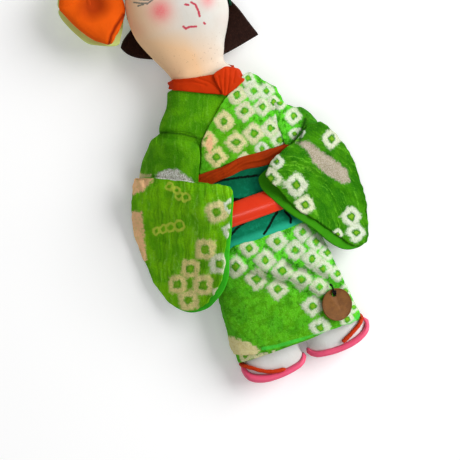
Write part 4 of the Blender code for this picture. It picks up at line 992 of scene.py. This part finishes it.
def make_upper_sleeve(side, finish, bodice, panel):
    """The stuffed upper sleeve, sewn to the bodice on the right and to the front panel on the left."""
    upper = new_piece(side + "_upper_sleeve_cloth", 3, side + "_upper_sleeve")
    press(upper, lambda p, n: wander(p, 0.008, 11) * 0.0004)
    if side == "right":
        pull(upper, SHOULDER_PULLS)
        sew(upper, bodice, SHOULDER_SEAM, (0.6, 1.4), 7.0, 0.0002)
        dye(upper, peach=UPPER_SLEEVE_PEACH, pale=UPPER_SLEEVE_PALE, shaded_folds=SHOULDER_SEAM_SHADE, crinkled=0.5, bleach=1.0)
    else:
        points = points_of(upper)
        points[:, 0] -= np.clip((0.0430 - points[:, 0]) / 0.0095, 0, 1) * 0.0060
        place_points(upper, points)
        press(upper, rough_edge)
        sew(upper, panel, CAP_SEAM, (-2.0, 0.0), 8.0, -0.0003)
        dye(upper, LEFT_SLEEVE_RINGS, pale=LEFT_SLEEVE_PALE, shaded_folds=CAP_FOLD_SHADE, streak=streak_round,
            ground=cap_ground, crinkled=0.6, pucker=PUCKER)
    hand_over(upper, finish, "green_crepe", None, side + "_upper_sleeve")
    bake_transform(upper)
    return upper


def make_sleeve(side, bodice, panel, upper_finish, rings, chains, peach, pale, streak, creases, shaded_folds):
    """An upper sleeve, the forearm in it, the bag that hangs from it and the cloth that joins the two."""
    upper = make_upper_sleeve(side, upper_finish, bodice, panel)
    forearm = new_piece(side + "_forearm_cloth", 2, side + "_forearm")
    hand_over(forearm, "cotton", "stuffed_cloth", side + "_lower_arm", side + "_forearm")

    lining = new_piece(side + "_lining_cloth", 3, side + "_sleeve_lining", rim=SOFT_RIM)
    hand_over(lining, side + " lining", "sleeve_lining", side + "_lower_arm", side + "_sleeve_lining")

    front = new_piece(side + "_sleeve_cloth", 3, side + "_sleeve_front", rim=SOFT_RIM)

    def crumple(points, normals):
        across = streak(seen(points))
        drawn = np.clip(wander(points, 0.014, 12) + 0.6, 0, 1)
        soft = np.sin(across / 0.75 + wander(points, 0.012, 2) * 4) * drawn * 0.00025
        dents = groove(points, creases, 0.0009, 1.5)
        uneven = wander(points, 0.01, 6) * 0.0005
        return facing(normals) * (soft + dents + uneven + wander(points, 0.0035, 3) * 0.0002)

    press(front, rough_edge)
    press(front, crumple)
    dye(front, rings, chains, peach, pale, shaded_folds=shaded_folds, streak=streak, pucker=PUCKER)
    hand_over(front, side + " sleeve", "dyed_crepe", side + "_lower_arm", side + "_sleeve_front")

    join, low, high = join_cloth(side + "_sleeve_join_cloth", upper, front, *JOIN_SPANS[side])
    dye(join, pale=JOIN_PALE, crinkled=0.5, bleach=1.0)
    hand_over(join, upper_finish, "green_crepe", None)
    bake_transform(join)
    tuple(low)
    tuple(high)


def join_cloth(name, upper, front, start, end):
    """The cloth from an upper sleeve to the top edge of its bag over this span of x, and where it starts and ends."""
    columns, rows = 16, 7
    edge = points_of(front)
    tree = BVHTree.FromObject(upper, bpy.context.evaluated_depsgraph_get())
    bpy.ops.object.select_all(action="DESELECT")
    bpy.ops.mesh.primitive_grid_add(x_subdivisions=columns - 1, y_subdivisions=rows - 1, size=1)
    obj = bpy.context.object
    obj.name = name
    grid = points_of(obj) + 0.5
    points = np.empty_like(grid)
    for number, (across, down, _) in enumerate(grid):
        x = start + (end - start) * across
        near = edge[abs(edge[:, 0] - x) < 0.0015]
        top = near[near[:, 1].argmax()]
        y = top[1] - 0.0012
        hit = tree.ray_cast(Vector((x, y, 0.06)), Vector((0, 0, -1)))[0]
        low = min(hit.z - 0.001 if hit else top[2] - 0.004, top[2] - 0.001)
        points[number] = (x, y + math.sin(math.pi * down) * 0.0008, top[2] + (low - top[2]) * down)
    place_points(obj, points)
    tops, lows = (points[abs(grid[:, 1] - down) < 0.01] for down in (0, 1))
    run = tops[tops[:, 0].argmax()] - tops[tops[:, 0].argmin()]
    run /= np.linalg.norm(run)
    rise = np.array((0, 0, 1)) - run * run[2]
    rise /= np.linalg.norm(rise)
    middle = tops.mean(axis=0)
    height = ((tops - middle) @ rise).min()
    high = middle + rise * height
    low = middle + rise * min(((lows - middle) @ rise).max(), height - 0.001)
    modify(obj, "SOLIDIFY", thickness=0.001, offset=0)
    subdivide(obj, 1)
    with edit_mode(obj):
        bpy.ops.mesh.select_all(action="SELECT")
        bpy.ops.mesh.normals_make_consistent(inside=False)
    bpy.ops.object.shade_smooth()
    drop_uv_layers(obj)
    return obj, tuple(low), tuple(high)


def sew(obj, carrier, seam, inside, reach, above):
    """Brings a piece's front to the height of the cloth that its seam is sewn to, over this reach in millimetres."""
    tree = BVHTree.FromObject(carrier, bpy.context.evaluated_depsgraph_get())
    share = (CAMERA_PLACE.z - CAMERA_PLANE_Z) / (CAMERA_PLACE.z - SEAM_Z)
    middle = np.array(CAMERA_PLACE[:2])
    points = points_of(obj)
    places = seen(points)
    start = np.array(seam[0], float)
    run = np.array(seam[-1], float) - start
    along = np.clip((places - start) @ run / (run @ run), 0, 1)
    near = np.clip(1 - segment_distance(places, seam[0], seam[-1]) / reach, 0, 1) * (normals_of(obj)[:, 2] > 0)
    near = near * near * (3 - 2 * near)
    for number in np.nonzero(near > 0)[0]:
        place = (start + run * along[number] + inside) * MM + (0, SOLES_Y)
        x, y = middle + (place - middle) / share
        hit = tree.ray_cast(Vector((x, y, SEAM_Z * 2)), Vector((0, 0, -1)))[0]
        if hit:
            points[number, 2] += (hit.z + above - points[number, 2]) * near[number]
    place_points(obj, points)


def make_head():
    face = new_piece("face_cloth", 2, "head", "neck")
    stuff(face, 0.0012, 0.0005, 8)
    points = points_of(face)
    smoothed = face.vertex_groups.new(name="neck")
    for number, height in enumerate(seen(points)[:, 1]):
        smoothed.add([number], max(0, 1 - ((height - NECK_CREASE_Y) / 14) ** 2), "REPLACE")
    points[:, 1] -= np.clip((points[:, 1] - 0.128) / 0.02, 0, 1) * 0.0018
    place_points(face, points)
    modify(face, "SMOOTH", factor=0.5, iterations=70, vertex_group="neck")
    face.vertex_groups.clear()
    subdivide(face, 1)
    refine(face, lambda places: stroke_distance(places, LASHES + MOUTH) < 1.4, 2)
    points = points_of(face)
    places = seen(points)
    blush = np.zeros(len(places))
    for x, y, radius, strength in BLUSHES:
        far = np.linalg.norm(places - (x, y), axis=1) / radius
        blush = np.maximum(blush, strength * np.exp(-(far**2) * 2.2))
    # Where the warm peach tint of painted light and shade lies: the face's right side and under the chin
    right = np.clip((2 - places[:, 0]) / 24, 0, 1)
    low = np.clip((184 - places[:, 1]) / 16, 0, 1) * np.clip((17 - places[:, 0]) / 20, 0, 1)
    back = np.clip((0.026 - points[:, 2]) / 0.002, 0, 1)
    for name, values in (
        ("lash", stroke_distance(places, LASHES)),
        ("mouth", stroke_distance(places, MOUTH)),
        ("blush", blush),
        ("painted_warm_light_and_shade", np.clip(right * 0.9 + low * 0.9 + 0.1, 0, 1)),
        ("lower_face_specks", np.clip((178 - places[:, 1]) / 8, 0, 1)),
        ("crown", np.clip((points[:, 1] - 0.126) / 0.002, 0, 1) * back),
    ):
        mark(face, name, values)
    hand_over(face, "face", "face_cloth", None, "head", "neck")
    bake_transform(face)

    for name, node, levels, area, flat in (
        ("back_hair_felt", "hair_back", 2, 0.0027, (0.068, 0.054)),
        ("crown_hair_felt", "hair_cap", 3, 0.0009, (0.05, 0.026)),
    ):
        hair = new_piece(name, levels, node, rim=0.8)
        pull(hair, HAIR_PULLS)
        hand_over(hair, "hair", "hair_felt", "head_group", node)
    band = new_piece("headband_cloth", 2, "headband", rim=0.6)
    points = points_of(band)
    low_end = (points[:, 1] < HEADBAND_TURN_Y) & (points[:, 0] < 0)
    points[low_end, 1] = HEADBAND_TURN_Y + (points[low_end, 1] - HEADBAND_TURN_Y) * 0.2
    place_points(band, points)
    pull(band, BAND_PULLS)
    hand_over(band, "band", "band_cloth", "head_group", "headband")


def make_bow():
    middle = np.mean(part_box("bow_knot"), axis=0)
    for part in ("lower", "upper"):
        loop = new_piece("bow_" + part + "_cloth", 2, "bow_" + part + "_loop", cuts=1)
        lining = new_piece("bow_" + part + "_lining_cloth", 2, "bow_" + part + "_lining", rim=0.0, cuts=1)
        for piece in (loop, lining):
            if part == "lower":
                points = points_of(piece)
                points[:, 1] += (points[:, 1] - points[:, 1].min()) * 0.14
                points[:, 1] += np.clip((points[:, 1] - 0.116) / 0.009, 0, 1) ** 2 * 0.002
                place_points(piece, points)
            pull(piece, BOW_CORNERS[part])
        pull(loop, BOW_PULLS)
        pull(lining, LIME_PULLS)
        modify(lining, "SMOOTH", factor=0.5, iterations=40)

        def pleats(points, normals, part=part):
            off = points - middle
            turn = np.arctan2(off[:, 1], off[:, 0])
            far = np.linalg.norm(off[:, :2], axis=1)
            depth = np.clip(far / 0.02, 0.15, 1) * (0.0003 if part == "lower" else 0.0007)
            hollow = np.exp(-((np.linalg.norm(seen(points) - BOW_HOLLOW, axis=1) / 6) ** 2)) * 0.0022
            broad = np.sin(turn * 5 + 0.8) * depth * 1.6 + wander(points, 0.009, 4) * 0.0006
            return facing(normals) * (broad - hollow + groove(points, BOW_FOLDS, 0.0012, 0.9))

        press(loop, pleats)
        places = seen(points_of(loop))
        far = np.linalg.norm((places - BOW_HOLLOW) / (1.15, 1), axis=1)
        # Painted shade in the bow's hollow and along its fold
        mark(loop, "hollow", np.clip(1.5 - far / 6, 0, 1) * 0.9)
        mark(loop, "painted_crease_shade", np.exp(-((stroke_distance(places, BOW_FOLDS) / 0.8) ** 2)) * 0.8)
        hand_over(loop, "bow", "bow_crepe", "head_group", "bow_" + part + "_loop")
        hand_over(lining, "lime", "bow_lining", "head_group", "bow_" + part + "_lining")
    knot = new_piece("bow_knot_cloth", 2, "bow_knot")
    points = points_of(knot)
    points[:, 2] = middle[2] + (points[:, 2] - middle[2]) * 0.4 - 0.0032
    place_points(knot, points)
    press(knot, lambda p, n: np.sin(p[:, 0] / 0.0006) * 0.00015)
    # The knot is painted in the hollow's shade
    mark(knot, "hollow", 0.8)
    mark(knot, "painted_crease_shade", 0.0)
    hand_over(knot, "bow", "bow_crepe", "head_group", "bow_knot")


def make_legs():
    torso = new_piece("torso_cloth", 1, "torso")
    hand_over(torso, "cotton", "stuffed_cloth", "doll_body", "torso")
    for side in ("right", "left"):
        body = side + "_leg_group"
        sole = new_piece(side + "_sole_felt", 2, side + "_sole", cuts=1)
        toe = np.linalg.norm(seen(points_of(sole)) - (-28, 6), axis=1)
        press(sole, lambda p, n: 0.0005 + 0.0006 * np.exp(-((toe / 11) ** 2)))
        leg = new_piece(side + "_leg_cloth", 2, side + "_leg")
        stuff(leg, 0.001, 0.0004)
        meet(leg, sole, 0.0026)
        subdivide(leg, 1)
        hand_over(leg, "tabi", "tabi_cloth", body, side + "_leg")
        hand_over(sole, "sole", "sole_felt", body, side + "_sole")
        strap = new_piece(side + "_strap_cord", 2, side + "_strap")
        pull(strap, STRAP_PULLS)
        press(strap, lambda p, n: 0.00015 + np.sin((p[:, 0] + p[:, 1] * 0.6) / 0.0004) * 0.00008)
        hand_over(strap, "strap", "strap_cord", body, side + "_strap")


def make_tag():
    """A plain copper disc with a low rim, hung by a knotted thread."""
    joints = {joint["name"]: joint for joint in frame["joints"]}
    normal = Vector(joints["tag_swing"]["axis"]).normalized()
    across = -Vector(joints["tag_lift"]["axis"]).normalized()
    up = normal.cross(across)
    hole = Vector(joints["tag_swing"]["pos_m"])
    axes = Matrix((across, up, normal)).transposed().to_4x4()
    bpy.ops.object.select_all(action="DESELECT")
    bpy.ops.mesh.primitive_cylinder_add(vertices=72, radius=0.0081, depth=0.001)
    tag = bpy.context.object
    tag.name = "copper_tag"
    bpy.ops.object.mode_set(mode="EDIT")
    bpy.ops.mesh.select_mode(type="FACE")
    for side in (1, -1):
        bpy.ops.mesh.select_all(action="DESELECT")
        bpy.ops.object.mode_set(mode="OBJECT")
        for face in tag.data.polygons:
            face.select = face.normal.z * side > 0.9
        bpy.ops.object.mode_set(mode="EDIT")
        bpy.ops.mesh.inset(thickness=0.0004)
        bpy.ops.mesh.inset(thickness=0.00025, depth=-0.00015)
    bpy.ops.mesh.select_mode(type="VERT")
    bpy.ops.object.mode_set(mode="OBJECT")
    bpy.ops.object.select_all(action="DESELECT")
    bpy.ops.mesh.primitive_cylinder_add(vertices=24, radius=0.0012, depth=0.003, location=(0, HOLE_Y, 0))
    drill = bpy.context.object
    modify(tag, "BOOLEAN", operation="DIFFERENCE", solver="EXACT", object=drill)
    bpy.data.objects.remove(drill)
    modify(tag, "BEVEL", width=0.00012, segments=2, limit_method="ANGLE")
    tag.data.transform(Matrix.Translation(hole - up * HOLE_Y) @ axes)
    hand_over(tag, "copper", "tag_metal", "tag_disc", "tag")
    bpy.ops.object.shade_smooth_by_angle(angle=math.radians(35))
    thread = new_piece("tag_thread_loop", 2, "tag_thread")
    hand_over(thread, "thread", "black_thread", "thread_loop", "tag_thread")
    knot = tie_knot("tag_thread_knot", hole + up * 0.0011 + normal * 0.0016, axes)
    hand_over(knot, "thread", "black_thread", "thread_loop")


def tie_knot(name, place, axes):
    """A small overhand knot in the tag's thread."""
    turns = [2 * math.pi * step / 36 for step in range(36)]
    curve = bpy.data.curves.new(name, "CURVE")
    curve.dimensions = "3D"
    curve.bevel_depth = 0.00034
    curve.bevel_resolution = 2
    line = curve.splines.new("POLY")
    line.points.add(len(turns) - 1)
    for point, turn in zip(line.points, turns):
        x = math.sin(turn) + 2 * math.sin(2 * turn)
        y = math.cos(turn) - 2 * math.cos(2 * turn)
        point.co = (x * 0.00036, y * 0.0003, -math.sin(3 * turn) * 0.00034, 1)
    line.use_cyclic_u = True
    only(new_object(name, curve))
    bpy.ops.object.convert(target="MESH")
    obj = bpy.context.object
    obj.data.transform(Matrix.Translation(place) @ axes)
    return obj


def make_stage():
    camera_data = bpy.data.cameras.new("camera")
    camera = new_object("camera", camera_data)
    camera.location = CAMERA_PLACE
    camera.rotation_euler = (0, 0, CAMERA_TURN)
    camera_data.sensor_width = 36
    camera_data.lens = 36 / 2 / math.tan(CAMERA_WIDTH_ANGLE / 2)
    bpy.context.scene.camera = camera

    bpy.ops.object.select_all(action="DESELECT")
    bpy.ops.mesh.primitive_plane_add(size=6)
    floor = bpy.context.object
    floor.name = "floor"
    material = bpy.data.materials.new("pale_floor")
    material.use_nodes = True
    tree = material.node_tree
    shader = tree.nodes["Principled BSDF"].inputs
    shader["Base Color"].default_value = (0.97, 0.97, 0.97, 1)
    shader["Roughness"].default_value = 0.9
    shader["Specular IOR Level"].default_value = 0.0
    shader["Emission Color"].default_value = (1, 1, 1, 1)
    ray = add(tree, "LightPath", "Is Camera Ray")
    glow = ray.maths("MAXIMUM", ray["Is Glossy Ray"]) * FLOOR_GLOW
    tree.links.new(glow.socket, shader["Emission Strength"])
    floor.data.materials.append(material)

    world = bpy.data.worlds.new("studio")
    bpy.context.scene.world = world
    world.use_nodes = True
    level = add(world.node_tree, "LightPath", "Is Camera Ray").maths("MAXIMUM", SKY_LEVEL)
    sky = world.node_tree.nodes["Background"].inputs
    world.node_tree.links.new(level.socket, sky["Strength"])
    sky["Color"].default_value = (1, 1, 1, 1)
    for name, place, size, level in LIGHTS:
        light = bpy.data.lights.new(name, "AREA")
        light.shape = "RECTANGLE"
        light.size, light.size_y = size
        light.energy = level * math.pi**2 * Vector(place).length ** 3 / place[2]
        lamp = new_object(name, light)
        lamp.location = place
        lamp.rotation_euler = (-Vector(place)).to_track_quat("-Z", "Y").to_euler()
    bpy.context.scene.view_settings.view_transform = "Standard"


make_stage()
bodice_cloth, panel_cloth = make_kimono()
make_collar()
make_waist()
make_sleeve(
    "right", bodice_cloth, panel_cloth, "kimono", RIGHT_SLEEVE_RINGS, RIGHT_SLEEVE_CHAINS, RIGHT_SLEEVE_PEACH, (),
    streak_upright, creases=(), shaded_folds=(),
)
make_sleeve(
    "left", bodice_cloth, panel_cloth, "left sleeve", LEFT_SLEEVE_RINGS, (), (), LEFT_SLEEVE_PALE,
    streak_round, creases=LEFT_SLEEVE_FOLDS, shaded_folds=CAP_FOLD_SHADE,
)
make_head()
make_bow()
make_legs()
make_tag()
